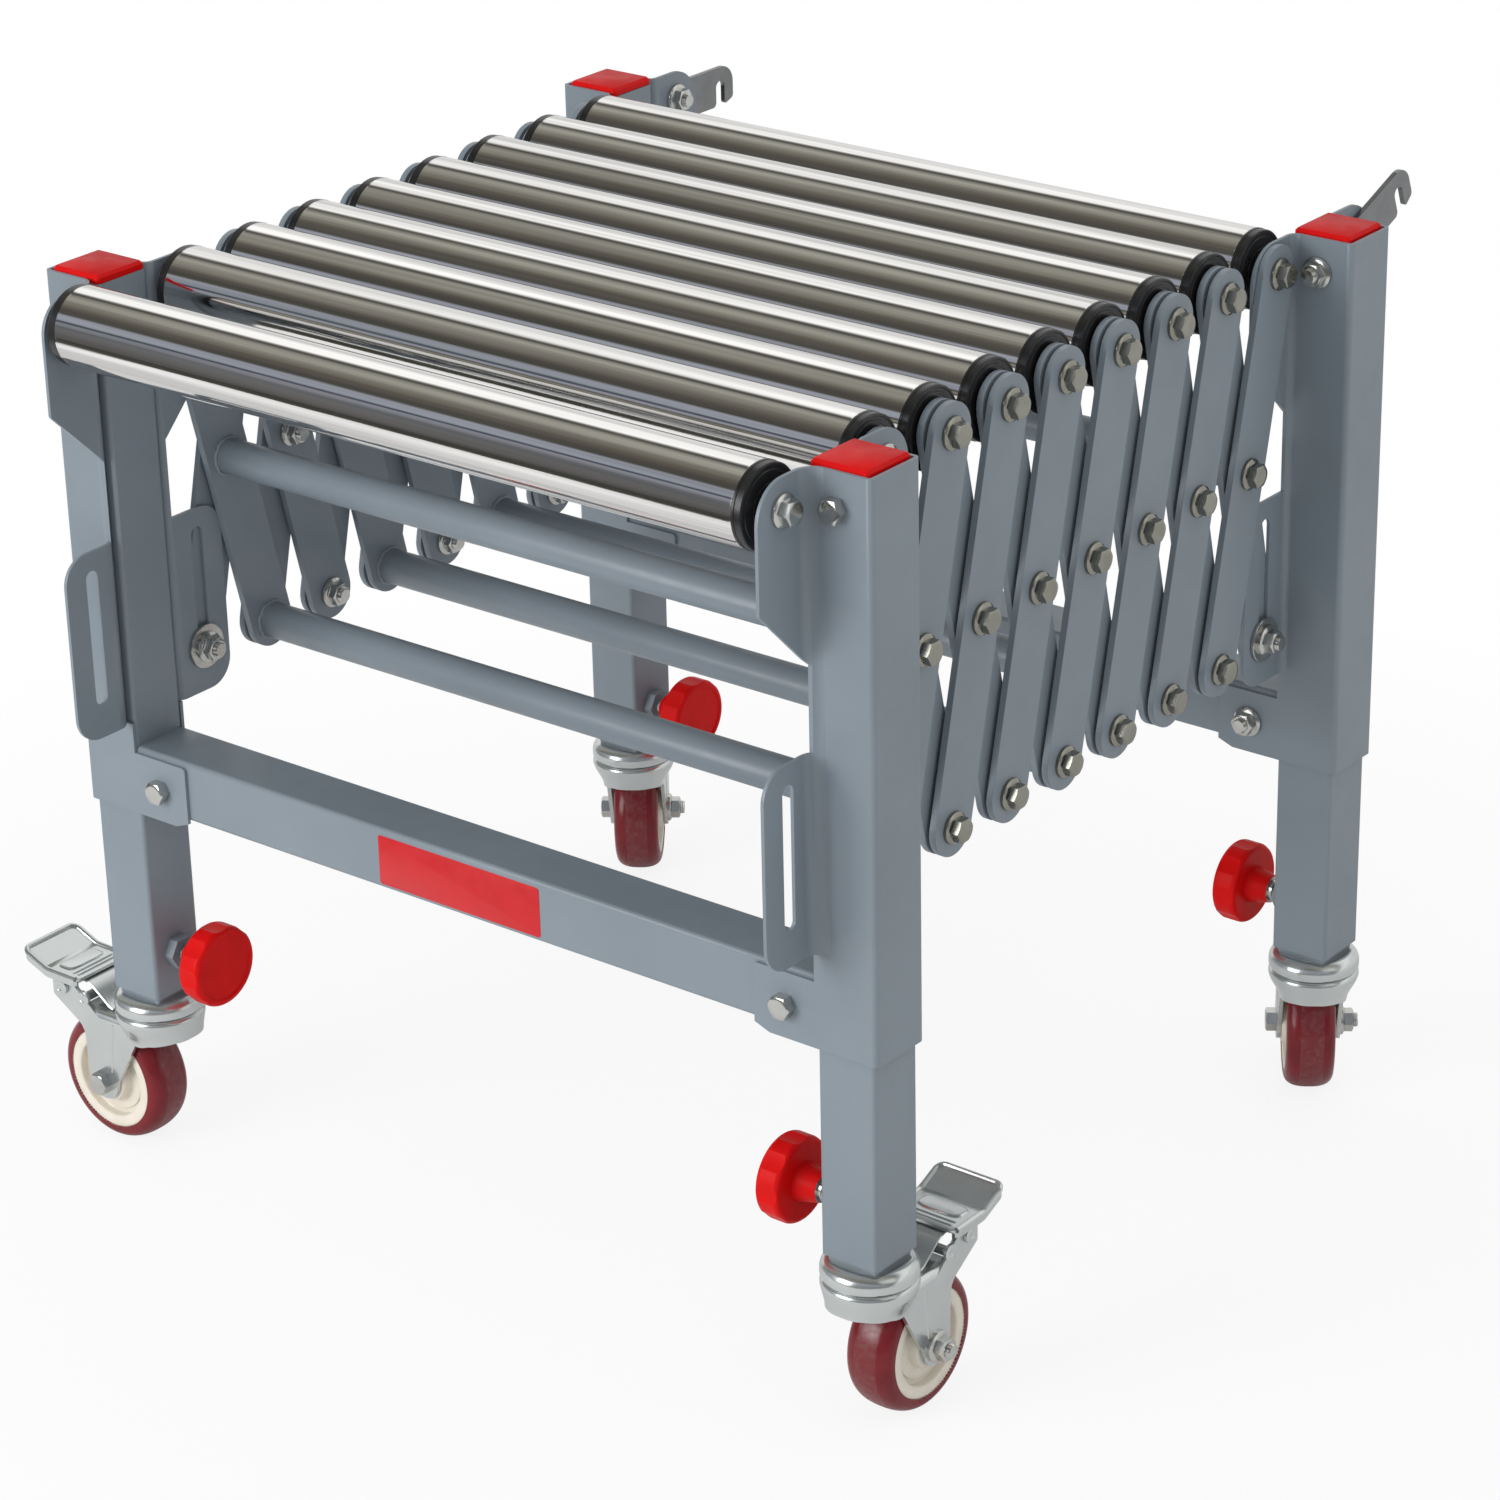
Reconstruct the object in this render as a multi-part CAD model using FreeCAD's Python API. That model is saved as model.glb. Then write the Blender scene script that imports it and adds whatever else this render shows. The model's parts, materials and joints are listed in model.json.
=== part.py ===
import FreeCAD, Part
import math
import os

# Expandable roller table on four casters.
# X runs along the rollers, Y along the conveyor, Z up from the floor, sizes in millimetres.
# The origin lies on the floor, midway between the four posts.

# Whole table
post_half_spacing = 323.0
roller_count = 9
outboard_roller_count = 1
rest_pitch = 63.0
link_length = 277.0
extended_angle = 47.0
tube_show = 150.75
ear_reach = 51.0
cut_overrun = 5.0
pivot_clearance = 0.3
side_clearance = 0.25
shortest_edge = 0.001

# Post tube and its shell of folded sheet
tube_side = 45.0
tube_wall = 2.5
tube_corner = 3.0
sheet = 2.5
web_gap = 1.5
shell_corner = 4.0
bend_radius = 5.0
free_bend_radius = 11.0
ear_margin = 24.0
ear_crown = 21.0
ear_stub = 3.5
upper_ear_straight = 82.0
upper_ear_corner = 26.0
slot_ear_corner = 20.0
slot_width = 11.0
slot_spare = 4.0
slot_ear_above = 13.5
slot_ear_below = 24.5
relief_height = 22.0
gusset_height = 47.0
gusset_reach = 48.5
gusset_chamfer_long = 12.0
gusset_chamfer_short = 4.5
gusset_corner = 3.0
gusset_bolt_inset = 25.0
gusset_bolt_rise = 24.0
post_bolt_drop = 24.0

# Crossbar between the two posts of a frame
crossbar_height = 45.0
crossbar_wall = 2.5
crossbar_drop = 18.0

# Cap on a post
cap_height = 6.0
cap_bevel = 2.0
cap_plug_depth = 15.0
cap_clearance = 0.5
cap_recess = 3.0

# Scissor links
link_width = 40.0
link_thickness = 5.0
cross_tube_radius = 13.0
cross_tube_wall = 2.0
bottom_tube_count = 3

# Bolts and nuts
bolt_radius = 5.0
hex_side_count = 6
hex_across = 15.0
hex_height = 7.0
flange_radius = 11.0
flange_thickness = 2.0
thread_end = 3.0
spacer_radius = 9.0
slot_washer_radius = 16.0
slot_washer_thickness = 2.5
tube_bolt_depth = 15.0

# Roller
roller_radius = 28.0
roller_wall = 2.0
roller_end_gap = 0.5
roller_rim_length = 3.0
roller_rim_inset = 0.6
roller_step_length = 2.0
roller_step_inset = 6.0
roller_boss_length = 2.0
roller_boss_radius = 13.0
roller_plug_depth = 12.0

# Caster
wheel_radius = 50.0
wheel_width = 36.0
tyre_depth = 11.0
tyre_shoulder = 7.0
tyre_shoulder_drop = 6.0
tyre_crown_half = 7.0
tyre_crown_round = 16.0
hub_inset = 1.5
hub_dish_depth = 6.0
hub_dish_outer_share = 0.78
hub_dish_inner_share = 0.42
axle_radius = 5.0
trail = 41.0
tyre_room = 5.0
fork_sheet = 3.0
fork_side_gap = 2.5
fork_front = 31.0
fork_front_corner = 20.0
fork_tail = 16.0
fork_bend = 6.0
fork_skirt = 6.0
fork_foot_radius = 14.0
fork_elbow_rise = 40.0
fork_elbow_back = 36.0
race_radius = 33.0
race_height = 9.0
race_bead = 4.2
race_gap = 0.5
race_lip = 2.0
upper_race_height = 13.0
upper_race_dome = 8.0
king_pin_radius = 6.0
king_pin_head_radius = 10.0
king_pin_head_height = 3.0
king_pin_end_gap = 0.3

# Brake pedal on a front caster
pedal_pivot_back = 36.0
pedal_pivot_rise = 68.0
pedal_pin_radius = 4.0
pedal_pin_head_radius = 6.0
pedal_pin_head_height = 2.2
pedal_sheet = 2.5
pedal_width = 54.0
pedal_heel = 19.0
pedal_toe = 37.0
pedal_knee = 13.0
pedal_height = 8.5
pedal_toe_rise = 10.0
pedal_wall = 6.0
pedal_corner = 7.0
pedal_dip = 12.0
pedal_cheek_half = 11.0
pedal_cheek_drop = 6.0
pedal_cheek_gap = 0.4
fork_ear_half = 10.0
fork_ear_above = 5.5
fork_ear_below = 9.0
brake_pin_radius = 3.5
brake_pin_ahead = 23.0
brake_pin_drop = 3.0

# Telescopic inner leg
leg_clearance = 0.5
leg_wall = 2.0
leg_corner = 2.0
leg_sink = 2.0
leg_show = 4.0
leg_headroom = 40.0

# Clamping knob
knob_rise = 33.0
knob_radius = 30.0
knob_disc = 19.0
knob_edge = 4.0
knob_neck_radius = 10.0
knob_neck_root = 14.0
knob_neck_length = 16.0
knob_stand_off = 14.0
knob_lobe_count = 8
knob_scallop_radius = 40.0
knob_scallop_depth = 1.3
knob_face_radius = 25.0
knob_face_recess = 1.0
stud_radius = 5.0
insert_radius = 8.0
insert_length = 3.0
weld_nut_across = 22.0
weld_nut_height = 8.0

# Coupling hook
hook_thickness = 4.0
hook_reach = 74.0
hook_above = 10.5
hook_below = 20.5
hook_pivot_radius = 15.0
hook_nose_corner = 14.0
hook_slot_width = 10.0
hook_slot_start = 53.0
hook_slot_depth = 20.0
hook_tip_corner = 4.0
hook_tilt_angle = {"left": 0.0, "right": 21.0}

# Rest direction of each caster's trail, in degrees from +X
caster_turn_angle = {
    "front_left": 180.0,
    "front_right": 90.0,
    "rear_left": 125.0,
    "rear_right": 125.0,
}

# Places worked out from the driving dimensions, from the floor upwards
pair_count = roller_count - outboard_roller_count - 1
scissor_half = pair_count * rest_pitch / 2
post_y = scissor_half + ear_reach
rest_angle = math.degrees(math.asin(rest_pitch / link_length))
rest_rise = link_length * math.cos(math.radians(rest_angle))
open_rise = link_length * math.cos(math.radians(extended_angle))

fork_roof_low = wheel_radius + wheel_radius + tyre_room
fork_roof_high = fork_roof_low + fork_sheet
race_top = fork_roof_high + race_height
leg_bottom = race_top + race_gap + upper_race_height
tube_bottom = leg_bottom + leg_show
knob_height = tube_bottom + knob_rise

shell_bottom = tube_bottom + tube_show
gusset_top = shell_bottom + gusset_height
slot_ear_bottom = gusset_top + relief_height
slot_low = slot_ear_bottom + slot_ear_below + slot_width / 2
low_pivot_height = slot_low + slot_spare
mid_pivot_height = low_pivot_height + rest_rise / 2
pivot_height = low_pivot_height + rest_rise
slot_high = pivot_height - open_rise + slot_spare
slot_ear_top = slot_high + slot_width / 2 + slot_ear_above
shell_top = pivot_height + ear_crown
tube_top = shell_top - cap_recess
post_bolt_height = shell_top - post_bolt_drop
gusset_bolt_height = shell_bottom + gusset_bolt_rise
crossbar_top = slot_ear_bottom - crossbar_drop
crossbar_bottom = crossbar_top - crossbar_height
leg_top = post_bolt_height - bolt_radius - leg_headroom

tube_half = tube_side / 2
leg_face = tube_half + sheet
web_inner = tube_half + web_gap
web_outer = web_inner + sheet
ear_outer = -tube_half + sheet
ear_edge = ear_reach + ear_margin
ear_trim = leg_face + ear_stub
gusset_end = -tube_half - gusset_reach
gusset_bolt_x = gusset_end + gusset_bolt_inset

ear_inner_x = post_half_spacing - tube_half
ear_outer_x = ear_inner_x + sheet
inner_link_far = ear_inner_x - side_clearance
inner_link_near = inner_link_far - link_thickness
outer_link_near = ear_outer_x + side_clearance
outer_link_far = outer_link_near + link_thickness
roller_half = inner_link_near - roller_end_gap
pivot_hole = bolt_radius + pivot_clearance

leg_half = tube_half - tube_wall - leg_clearance
fork_inner = wheel_width / 2 + fork_side_gap
fork_outer = fork_inner + fork_sheet
pedal_pivot_x = trail + pedal_pivot_back
fork_elbow_height = wheel_radius + fork_elbow_rise
pedal_pivot_z = wheel_radius + pedal_pivot_rise

FRONT = -1
REAR = 1
LEFT = -1
RIGHT = 1
SIDES = {"left": LEFT, "right": RIGHT}
ENDS = {"front": FRONT, "rear": REAR}


def vector(x, y, z):
    return FreeCAD.Vector(x, y, z)


def plan(a, b):
    return vector(a, b, 0)


def end_view(a, b):
    return vector(0, a, b)


def side_view(a, b):
    return vector(a, 0, b)


def rounded_face(corners, view):
    """A flat face through corners (a, b, radius), each rounded by a tangent arc."""
    points = [FreeCAD.Vector(a, b, 0) for a, b, radius in corners]
    starts, arcs = [], []
    for i, (a, b, radius) in enumerate(corners):
        here = points[i]
        back = (points[i - 1] - here).normalize()
        ahead = (points[(i + 1) % len(points)] - here).normalize()
        if radius <= 0:
            starts.append((here, here))
            arcs.append(None)
            continue
        half = back.getAngle(ahead) / 2
        run = radius / math.tan(half)
        bisector = (back + ahead).normalize()
        centre = here + bisector * (radius / math.sin(half))
        starts.append((here + back * run, here + ahead * run))
        arcs.append(centre - bisector * radius)
    edges = []
    for i, (enter, leave) in enumerate(starts):
        if arcs[i] is not None:
            first, middle, last = [view(spot.x, spot.y) for spot in (enter, arcs[i], leave)]
            edges.append(Part.Arc(first, middle, last).toShape())
        following = starts[(i + 1) % len(starts)][0]
        if leave.distanceToPoint(following) > shortest_edge:
            edges.append(Part.makeLine(view(leave.x, leave.y), view(following.x, following.y)))
    return Part.Face(Part.Wire(Part.__sortEdges__(edges)))


def raised(face, low, high):
    """Extrudes a plan face from height low to height high."""
    solid = face.extrude(vector(0, 0, high - low))
    solid.translate(vector(0, 0, low))
    return solid


def across_x(face, low, high):
    """Extrudes an end-view face along X."""
    solid = face.extrude(vector(high - low, 0, 0))
    solid.translate(vector(low, 0, 0))
    return solid


def across_y(face, low, high):
    """Extrudes a side-view face along Y."""
    solid = face.extrude(vector(0, high - low, 0))
    solid.translate(vector(0, low, 0))
    return solid


def rod_x(radius, low, high, y=0, z=0):
    return Part.makeCylinder(radius, high - low, vector(low, y, z), vector(1, 0, 0))


def rod_y(radius, low, high, x=0, z=0):
    return Part.makeCylinder(radius, high - low, vector(x, low, z), vector(0, 1, 0))


def rod_z(radius, low, high):
    return Part.makeCylinder(radius, high - low, vector(0, 0, low), vector(0, 0, 1))


def turned_x(corners):
    """Revolves a profile of corners (x, radius from the axis, rounding) about X."""
    return rounded_face(corners, side_view).revolve(vector(0, 0, 0), vector(1, 0, 0), 360)


def hexagon_x(across, low, high):
    corner = across / 2 / math.cos(math.pi / hex_side_count)
    corners = []
    for i in range(hex_side_count):
        angle = 2 * math.pi * i / hex_side_count
        corners.append((corner * math.cos(angle), corner * math.sin(angle), 0))
    return across_x(rounded_face(corners, end_view), low, high)


def moved(shape, x=0, y=0, z=0):
    copy = shape.copy()
    copy.translate(vector(x, y, z))
    return copy


def turned(shape, degrees, axis):
    copy = shape.copy()
    copy.rotate(vector(0, 0, 0), axis, degrees)
    return copy


def mirrored(shape):
    return shape.mirror(vector(0, 0, 0), vector(1, 0, 0))


def on_side(shape, side):
    """A shape drawn for the right-hand side, mirrored for the left."""
    return shape if side == RIGHT else mirrored(shape)


def joined(shapes):
    return shapes[0].fuse(shapes[1:]).removeSplitter()


def rectangle(half_a, half_b, radius, view):
    """A rectangle about the origin with rounded corners."""
    spots = ((-half_a, -half_b), (half_a, -half_b), (half_a, half_b), (-half_a, half_b))
    return rounded_face([(a, b, radius) for a, b in spots], view)


def square_ring(half_a, half_b, wall, corner, view):
    """The cross-section of a rectangular tube with rounded corners."""
    inside = rectangle(half_a - wall, half_b - wall, corner / 2, view)
    return rectangle(half_a, half_b, corner, view).cut(inside)


def flange_nut_x(low):
    """A flanged hexagon nut with a thread end, facing +X from its seat at low."""
    seat = rod_x(flange_radius, low, low + flange_thickness)
    hexagon = hexagon_x(hex_across, low + flange_thickness, low + flange_thickness + hex_height)
    end = low + flange_thickness + hex_height
    return seat, hexagon, rod_x(bolt_radius, end, end + thread_end)


def flange_head_x(low):
    """A flanged hexagon bolt head, facing +X from its seat at low."""
    return flange_nut_x(low)[:2]


def facing_in(fastener, seat):
    """The pieces of a right-hand fastener turned to face -X from the same seat."""
    return [moved(mirrored(piece), seat + seat) for piece in fastener(seat)]


def post_shell(front_bend):
    """Hat-section sheet round a right-hand post: web outside, ears front and rear, gussets below."""
    hat = rounded_face(
        [
            (ear_outer, -ear_edge, 0),
            (ear_outer, -leg_face, front_bend),
            (web_outer, -leg_face, shell_corner),
            (web_outer, leg_face, shell_corner),
            (ear_outer, leg_face, bend_radius),
            (ear_outer, ear_edge, 0),
            (-tube_half, ear_edge, 0),
            (-tube_half, tube_half, bend_radius + sheet),
            (web_inner, tube_half, shell_corner - sheet),
            (web_inner, -tube_half, shell_corner - sheet),
            (-tube_half, -tube_half, front_bend + sheet),
            (-tube_half, -ear_edge, 0),
        ],
        plan,
    )
    ear_slope = ear_edge - ear_trim
    upper_low = shell_top - upper_ear_straight
    ears = rounded_face(
        [
            (-ear_edge, slot_ear_bottom, slot_ear_corner),
            (ear_edge, slot_ear_bottom, slot_ear_corner),
            (ear_edge, slot_ear_top, slot_ear_corner),
            (ear_trim, slot_ear_top, 0),
            (ear_trim, upper_low - ear_slope, 0),
            (ear_edge, upper_low, gusset_corner),
            (ear_edge, shell_top, upper_ear_corner),
            (-ear_edge, shell_top, upper_ear_corner),
            (-ear_edge, upper_low, gusset_corner),
            (-ear_trim, upper_low - ear_slope, 0),
            (-ear_trim, slot_ear_top, 0),
            (-ear_edge, slot_ear_top, slot_ear_corner),
        ],
        end_view,
    )
    upper = raised(hat, slot_ear_bottom, shell_top).common(
        across_x(ears, -tube_side, tube_side)
    )
    channel = rounded_face(
        [
            (gusset_end, -leg_face, 0),
            (web_outer, -leg_face, shell_corner),
            (web_outer, leg_face, shell_corner),
            (gusset_end, leg_face, 0),
            (gusset_end, tube_half, 0),
            (web_inner, tube_half, shell_corner - sheet),
            (web_inner, -tube_half, shell_corner - sheet),
            (gusset_end, -tube_half, 0),
        ],
        plan,
    )
    gussets = rounded_face(
        [
            (web_outer, shell_bottom, 0),
            (web_outer, slot_ear_bottom, 0),
            (-tube_half, slot_ear_bottom, 0),
            (-tube_half, gusset_top, 0),
            (gusset_end, gusset_top, gusset_corner),
            (gusset_end, shell_bottom + gusset_chamfer_short, 0),
            (gusset_end + gusset_chamfer_long, shell_bottom, 0),
        ],
        side_view,
    )
    lower = raised(channel, shell_bottom, slot_ear_bottom).common(
        across_y(gussets, -tube_side, tube_side)
    )
    shell = joined([upper, lower])
    for end in ENDS.values():
        y = end * ear_reach
        slot_half = slot_width / 2
        slot = rounded_face(
            [
                (y - slot_half, slot_low - slot_half, slot_half),
                (y + slot_half, slot_low - slot_half, slot_half),
                (y + slot_half, slot_high + slot_half, slot_half),
                (y - slot_half, slot_high + slot_half, slot_half),
            ],
            end_view,
        )
        shell = shell.cut(across_x(slot, -tube_side, 0))
        shell = shell.cut(rod_x(pivot_hole, -tube_side, 0, y, pivot_height))
    for x, z in ((0, post_bolt_height), (gusset_bolt_x, gusset_bolt_height)):
        shell = shell.cut(rod_y(pivot_hole, -tube_side, tube_side, x, z))
    return shell


def leg_tube():
    """Fixed square tube of a right-hand post, bored for its bolt and for the clamping stud."""
    tube = raised(square_ring(tube_half, tube_half, tube_wall, tube_corner, plan), tube_bottom, tube_top)
    tube = tube.cut(rod_y(pivot_hole, -tube_side, tube_side, 0, post_bolt_height))
    return tube.cut(rod_x(stud_radius + pivot_clearance, -tube_side, 0, 0, knob_height))


def weld_nut():
    """Nut welded on the inner face of a right-hand post tube."""
    nut = hexagon_x(weld_nut_across, -tube_half - weld_nut_height, -tube_half)
    nut = nut.cut(rod_x(stud_radius + pivot_clearance, -tube_side, 0))
    return moved(nut, z=knob_height)


def crossbar():
    """Square bar between the inner faces of the two post tubes."""
    half_height = crossbar_height / 2
    section = square_ring(tube_half, half_height, crossbar_wall, tube_corner, end_view)
    bar = across_x(section, -ear_inner_x, ear_inner_x)
    bar.translate(vector(0, 0, crossbar_bottom + half_height))
    for side in SIDES.values():
        x = side * (post_half_spacing + gusset_bolt_x)
        bar = bar.cut(rod_y(pivot_hole, -tube_side, tube_side, x, gusset_bolt_height))
    return bar


def post_cap():
    """Bevelled plastic plug in the top of a post tube."""
    half = tube_half - cap_clearance
    inside = tube_half - tube_wall - cap_clearance
    head = raised(rectangle(half, half, tube_corner, plan), tube_top, tube_top + cap_height)
    rim = [edge for edge in head.Edges if edge.BoundBox.ZMin > tube_top + cap_height / 2]
    head = head.makeChamfer(cap_bevel, rim)
    plug = raised(rectangle(inside, inside, leg_corner, plan), tube_top - cap_plug_depth, tube_top)
    return joined([head, plug])


def frame_bolt():
    """Bolt through a post or crossbar along Y: plain hexagon head in front, washer and nut behind."""
    shank = rod_x(bolt_radius, -leg_face, leg_face)
    head = hexagon_x(hex_across, -leg_face - hex_height, -leg_face)
    bolt = joined([head, shank, *flange_nut_x(leg_face)])
    return turned(bolt, 90, vector(0, 0, 1))


def roller_axle(outer_face):
    """Axle through a roller with a flanged hexagon head on each side plate."""
    head = joined([*flange_head_x(outer_face)])
    return joined([rod_x(bolt_radius, -outer_face, outer_face), head, mirrored(head)])


def axle_spacer():
    """Bush that fills the place of a missing link between a roller and its ear."""
    bush = rod_x(spacer_radius, inner_link_near, ear_inner_x)
    return bush.cut(rod_x(pivot_hole, 0, post_half_spacing))


def frame_nodes(end_name):
    """One end frame: two posts, their caps, a crossbar and the bolts that hold them."""
    end = ENDS[end_name]
    y = end * post_y
    shells, tubes, caps, fasteners = [], [], [], []
    bolt = frame_bolt() if end == FRONT else turned(frame_bolt(), 180, vector(0, 0, 1))
    shell = post_shell(free_bend_radius if end == FRONT else bend_radius)
    for side in SIDES.values():
        x = side * post_half_spacing
        shells.append(moved(on_side(shell, side), x, y))
        tubes.append(moved(on_side(leg_tube(), side), x, y))
        tubes.append(moved(on_side(weld_nut(), side), x, y))
        caps.append(moved(post_cap(), x, y))
        fasteners.append(moved(bolt, x, y, post_bolt_height))
        fasteners.append(moved(bolt, x + side * gusset_bolt_x, y, gusset_bolt_height))
        if end == FRONT:
            fasteners.append(moved(on_side(axle_spacer(), side), 0, y - ear_reach, pivot_height))
        else:
            hook_bolt = joined([
                rod_x(bolt_radius, ear_inner_x, ear_outer_x + hook_thickness + side_clearance),
                *flange_nut_x(ear_outer_x + hook_thickness + side_clearance),
                *facing_in(flange_nut_x, ear_inner_x),
            ])
            fasteners.append(moved(on_side(hook_bolt, side), 0, y + ear_reach, pivot_height))
            fasteners.append(moved(on_side(axle_spacer(), side), 0, y - ear_reach, pivot_height))
    if end == FRONT:
        for reach in (-ear_reach, ear_reach):
            fasteners.append(moved(roller_axle(ear_outer_x), 0, y + reach, pivot_height))
    return {
        end_name + "_post_shells": shells,
        end_name + "_leg_tubes": tubes,
        end_name + "_crossbar": [moved(crossbar(), y=y)],
        end_name + "_post_caps": caps,
        end_name + "_fasteners": fasteners,
    }


def station_y(station):
    return station * rest_pitch - scissor_half


def link_bar(low_x, high_x, top_y, bottom_y):
    """Flat bar with round ends and three pivot holes, from its top pivot to its bottom pivot."""
    half = link_width / 2
    outline = rectangle(half, link_length / 2 + half, half, end_view)
    bar = moved(across_x(outline, low_x, high_x), z=-link_length / 2)
    for along in (0, link_length / 2, link_length):
        bar = bar.cut(rod_x(pivot_hole, low_x - cut_overrun, high_x + cut_overrun, 0, -along))
    lean = math.copysign(rest_angle, bottom_y - top_y)
    return moved(turned(bar, lean, vector(1, 0, 0)), 0, top_y, pivot_height)


def cross_tube(y, z):
    """Round tube welded between the inner links of both sides."""
    tube = rod_x(cross_tube_radius, -inner_link_near, inner_link_near, y, z)
    bore = cross_tube_radius - cross_tube_wall
    return tube.cut(rod_x(bore, -inner_link_near, inner_link_near, y, z))


def has_mid_tube(pair):
    return pair in (1, pair_count)


def has_bottom_tube(pair):
    """Every other crossing from the first one on, up to the number of bottom tubes."""
    return pair % 2 == 1 and pair < 2 * bottom_tube_count


def inner_links(pair):
    """Inner bars of one crossing, top at the front, with the tubes that tie both sides."""
    top_y, bottom_y = station_y(pair - 1), station_y(pair)
    solids = []
    for side in SIDES.values():
        bar = link_bar(inner_link_near, inner_link_far, top_y, bottom_y)
        solids.append(on_side(bar, side))
        if pair == pair_count:
            solids.append(moved(on_side(rear_slide_bolt(), side), 0, bottom_y, low_pivot_height))
    if has_mid_tube(pair):
        solids.append(cross_tube((top_y + bottom_y) / 2, mid_pivot_height))
    if has_bottom_tube(pair):
        solids.append(cross_tube(bottom_y, low_pivot_height))
    return solids


def rear_slide_bolt():
    """Bolt of the last inner link, sliding in the rear post's slot with a washer outside."""
    seat = ear_outer_x + side_clearance
    outward = seat + slot_washer_thickness
    washer = rod_x(slot_washer_radius, seat, outward)
    head = facing_in(flange_head_x, inner_link_near)
    return joined([rod_x(bolt_radius, inner_link_near, seat), washer, *flange_nut_x(outward), *head])


def front_slide_bolt():
    """Bolt of the first outer link, sliding in the front post's slot with a washer inside."""
    seat = ear_inner_x - side_clearance
    inward = seat - slot_washer_thickness
    washer = rod_x(slot_washer_radius, inward, seat)
    nut = facing_in(flange_nut_x, inward)
    return joined([rod_x(bolt_radius, seat, outer_link_far), washer, *flange_head_x(outer_link_far), *nut])


def pivot_bolt(into_tube):
    """Bolt through a crossing of two links, ending in a nut or inside a cross tube."""
    washer = rod_x(flange_radius, inner_link_far + side_clearance, outer_link_near)
    pieces = [washer, *flange_head_x(outer_link_far)]
    if into_tube:
        return joined([rod_x(bolt_radius, inner_link_near - tube_bolt_depth, outer_link_far), *pieces])
    seat = inner_link_near - side_clearance
    nut = facing_in(flange_nut_x, seat)
    return joined([rod_x(bolt_radius, seat, outer_link_far), *pieces, *nut])


def outer_links(pair):
    """Outer bars of one crossing, bottom at the front."""
    top_y, bottom_y = station_y(pair), station_y(pair - 1)
    bar = link_bar(outer_link_near, outer_link_far, top_y, bottom_y)
    return [on_side(bar, side) for side in SIDES.values()]


def link_pivots(pair):
    """Axle and bolts that turn with one pair of outer links."""
    top_y, bottom_y = station_y(pair), station_y(pair - 1)
    axle = roller_axle(outer_link_far)
    if pair < pair_count:
        for side in SIDES.values():
            washer = rod_x(flange_radius, inner_link_far + side_clearance, outer_link_near)
            axle = axle.fuse(on_side(washer, side))
    solids = [moved(axle, 0, top_y, pivot_height)]
    low_bolt = front_slide_bolt() if pair == 1 else pivot_bolt(has_bottom_tube(pair - 1))
    mid_bolt = pivot_bolt(has_mid_tube(pair))
    for side in SIDES.values():
        solids.append(moved(on_side(low_bolt, side), 0, bottom_y, low_pivot_height))
        solids.append(moved(on_side(mid_bolt, side), 0, (top_y + bottom_y) / 2, mid_pivot_height))
    return solids


def roller():
    """Steel tube with a stepped plastic end that runs on the axle at each side."""
    rim_start = roller_half - roller_boss_length - roller_step_length - roller_rim_length
    bore = roller_radius - roller_wall
    tube = rod_x(roller_radius, -rim_start, rim_start)
    tube = tube.cut(rod_x(bore, -rim_start, rim_start))
    rim = roller_radius - roller_rim_inset
    step = rim - roller_step_inset
    end = turned_x([
        (rim_start - roller_plug_depth, pivot_hole, 0),
        (rim_start - roller_plug_depth, bore, 0),
        (rim_start, bore, 0),
        (rim_start, rim, 0),
        (rim_start + roller_rim_length, rim, roller_rim_length / 3),
        (rim_start + roller_rim_length, step, 0),
        (rim_start + roller_rim_length + roller_step_length, step, 0),
        (rim_start + roller_rim_length + roller_step_length, roller_boss_radius, 0),
        (roller_half, roller_boss_radius, 0),
        (roller_half, pivot_hole, 0),
    ])
    return [tube, end, mirrored(end)]


def roller_y(number):
    """The first roller sits outboard on the front ears, the others on the link stations."""
    station = number - outboard_roller_count - 1
    return -post_y - ear_reach if station < 0 else station_y(station)


def fork_cap():
    """Roof of the fork with its rounded skirt, open behind."""
    back = trail + fork_tail
    low = fork_elbow_height

    def block(front, half, corner, rear, high, bend):
        outline = [(-front, -half, corner), (rear, -half, 0), (rear, half, 0), (-front, half, corner)]
        solid = raised(rounded_face(outline, plan), low, high)
        rim = [
            edge for edge in solid.Edges
            if edge.BoundBox.ZMin > high - shortest_edge and edge.BoundBox.XMin < rear - shortest_edge
        ]
        return solid.makeFillet(bend, rim)

    outer = block(fork_front, fork_outer, fork_front_corner, back, fork_roof_high, fork_bend)
    inner = block(
        fork_front - fork_sheet,
        fork_inner,
        fork_front_corner - fork_sheet,
        back + cut_overrun,
        fork_roof_low,
        fork_bend - fork_sheet,
    )
    reach = rounded_face(
        [
            (-fork_front - cut_overrun, fork_roof_high + cut_overrun, 0),
            (-fork_front - cut_overrun, fork_roof_low - fork_skirt, 0),
            (-fork_front, fork_roof_low - fork_skirt, 0),
            (trail - fork_elbow_back, low, 0),
            (back, low, 0),
            (back, fork_roof_high + cut_overrun, 0),
        ],
        side_view,
    )
    return outer.cut(inner).common(across_y(reach, -fork_outer, fork_outer))


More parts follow.
